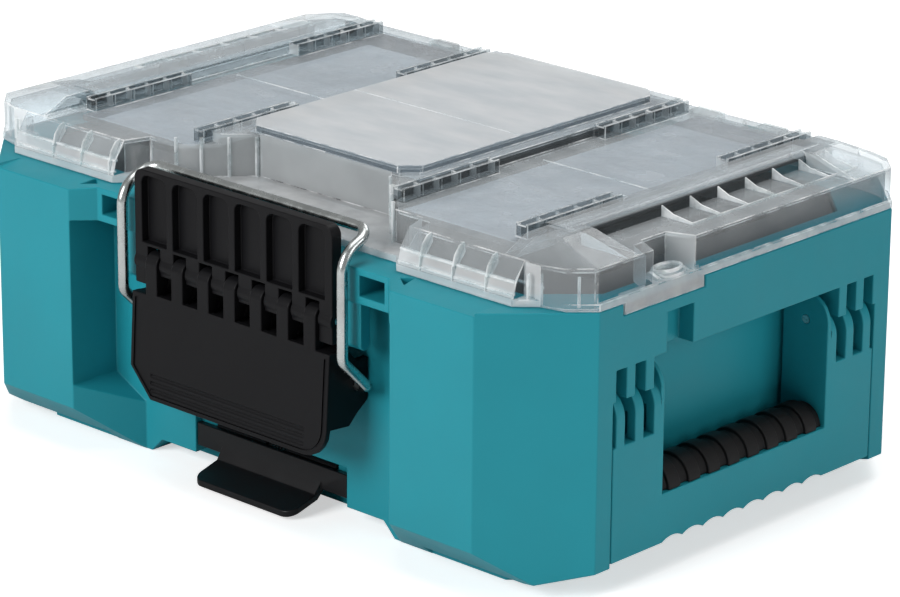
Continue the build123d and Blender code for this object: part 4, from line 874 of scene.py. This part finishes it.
class CASE_OT_inside(bpy.types.Operator):
    """Insert, spindle, knob and small steel parts"""
    bl_idname = "case.inside"
    bl_label = "Inside"

    def execute(self, context):
        settings = context.scene.inside_settings
        paint("insert_tray", moulded_plastic("insert plastic", settings.insert[:], 0.45, 0.06,
                                             contrast=0.1))
        knob = moulded_plastic("knob plastic", settings.knob[:], 0.40, 0.06, contrast=0.1)
        dressed("blade_knob", "blade_knob_moulding", "knob", knob,
                settings.knob_edge)
        steel = plated_metal("turned steel", settings.steel[:], 0.30, (1.0, 1.0, 6.0))
        dark = plated_metal("spring steel", scaled(settings.steel[:], 0.2), 0.36)
        paint("foot_latch_spring", dark)
        for node in ("blade_post", "knuckle_pin", "foot_latch_pin", "handle_pin_front",
                     "handle_pin_rear", "lid_hinge_pin_left", "lid_hinge_pin_right",
                     "insert_screws", "latch_plate_screws"):
            paint(node, steel)
        return {"FINISHED"}


# ---- stage ----
def make_floor(colour):
    """Wide level floor under the case."""
    shape = bmesh.new()
    bmesh.ops.create_grid(shape, x_segments=1, y_segments=1, size=FLOOR_REACH)
    mesh = bpy.data.meshes.new("floor")
    shape.to_mesh(mesh)
    shape.free()
    mesh.materials.append(floor_material(colour))
    floor = bpy.data.objects.new("floor", mesh)
    bpy.context.scene.collection.objects.link(floor)


def floor_material(colour):
    """Pale floor that keeps the shadow, looks white where it is seen and fades out."""
    look = new_look("pale floor")
    matt = look.add("ShaderNodeBsdfDiffuse", {
        "Color": look.cloud(look.noise(3.0, 3.0), scaled(colour, 0.99), colour)})
    away = look.add("ShaderNodeVectorMath", {0: look.place()}, "LENGTH").outputs["Value"]
    seen = look.add("ShaderNodeLightPath").outputs["Is Camera Ray"]
    fade = look.spread(away, 0.55, 1.0, 0.7, 2.4)
    glow = look.add("ShaderNodeEmission", {"Strength": look.maths("MULTIPLY", seen, fade)})
    both = look.add("ShaderNodeAddShader", {0: matt.outputs["BSDF"], 1: glow.outputs["Emission"]})
    return look.finish(both.outputs["Shader"])


def area_light(name, place, size, power):
    """Square soft light aimed at the middle of the case."""
    data = bpy.data.lights.new(name, "AREA")
    data.size, data.energy = size, power
    lamp = bpy.data.objects.new(name, data)
    bpy.context.scene.collection.objects.link(lamp)
    lamp.location = place
    way = Vector(LIGHT_TARGET) - Vector(place)
    lamp.rotation_euler = way.to_track_quat("-Z", "Y").to_euler()


def make_world(strength, mirrored):
    """Pale surroundings: white where they are seen, dimmer as light and in reflections."""
    world = bpy.data.worlds.new("pale world")
    bpy.context.scene.world = world
    look, white = Look(world, "ShaderNodeOutputWorld"), (1.0, 1.0, 1.0, 1.0)
    path = look.add("ShaderNodeLightPath").outputs
    seen = look.maths("MAXIMUM", path["Is Camera Ray"], path["Is Transmission Ray"])
    power = look.maths("MULTIPLY_ADD", path["Is Glossy Ray"], mirrored - strength, strength)
    light = look.add("ShaderNodeBackground", {"Color": white, "Strength": power})
    shown = look.add("ShaderNodeBackground", {"Color": white})
    look.finish(look.mix(seen, light.outputs["Background"], shown.outputs["Background"]))


def make_camera(settings):
    """Camera at the viewing angle, with a little roll."""
    data = bpy.data.cameras.new("camera")
    data.lens = settings.lens
    data.clip_start, data.clip_end = 0.05, 50.0
    camera = bpy.data.objects.new("camera", data)
    bpy.context.scene.collection.objects.link(camera)
    azimuth, elevation = settings.azimuth, settings.elevation
    away = Vector((math.sin(azimuth) * math.cos(elevation),
                   -math.cos(azimuth) * math.cos(elevation), math.sin(elevation)))
    turn = (-away).to_track_quat("-Z", "Y").to_matrix()
    place = Vector(CAMERA_TARGET) + away * settings.distance
    camera.matrix_world = (Matrix.Translation(place) @ turn.to_4x4()
                           @ Matrix.Rotation(settings.roll, 4, "Z"))
    bpy.context.scene.camera = camera


class CASE_OT_stage(bpy.types.Operator):
    """Floor, soft lights and camera"""
    bl_idname = "case.stage"
    bl_label = "Stage"

    def execute(self, context):
        settings = context.scene.stage_settings
        make_floor(settings.floor[:])
        area_light("key", (-0.4, -2.4, 1.3), 1.4, settings.key)
        area_light("top", (0.1, 0.3, 2.4), 2.0, settings.top)
        area_light("side", (2.3, 0.5, 0.9), 1.2, settings.side)
        area_light("back", (-0.6, 2.4, 1.6), 1.4, settings.back)
        make_world(settings.world, settings.mirrored)
        make_camera(settings)
        context.scene.view_settings.view_transform = "Standard"
        return {"FINISHED"}


class CASE_PT_panel(bpy.types.Panel):
    """Lists the steps that dress the case"""
    bl_idname = "CASE_PT_panel"
    bl_label = "Storage case"
    bl_space_type = "VIEW_3D"
    bl_region_type = "UI"
    bl_category = "Case"

    def draw(self, context):
        for operator in OPERATORS:
            self.layout.operator(operator.bl_idname)


SETTINGS = {
    "case_settings": CaseSettings,
    "latch_settings": LatchSettings,
    "lid_settings": LidSettings,
    "inside_settings": InsideSettings,
    "stage_settings": StageSettings,
}
OPERATORS = (CASE_OT_body, CASE_OT_handle, CASE_OT_latch, CASE_OT_latch_lines, CASE_OT_wire,
             CASE_OT_foot_latch, CASE_OT_lid, CASE_OT_lid_ribs, CASE_OT_pads, CASE_OT_inside,
             CASE_OT_stage)


def register():
    """Registers the settings, operators and panel."""
    for name, group in SETTINGS.items():
        bpy.utils.register_class(group)
        setattr(bpy.types.Scene, name, PointerProperty(type=group))
    for operator in OPERATORS:
        bpy.utils.register_class(operator)
    bpy.utils.register_class(CASE_PT_panel)


def unregister():
    """Removes what register added."""
    bpy.utils.unregister_class(CASE_PT_panel)
    for operator in reversed(OPERATORS):
        bpy.utils.unregister_class(operator)
    for name, group in reversed(SETTINGS.items()):
        delattr(bpy.types.Scene, name)
        bpy.utils.unregister_class(group)


def main():
    """Dresses the case."""
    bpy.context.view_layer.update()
    register()
    for operator in OPERATORS:
        group, step = operator.bl_idname.split(".")
        getattr(getattr(bpy.ops, group), step)()


if __name__ == "__main__":
    main()
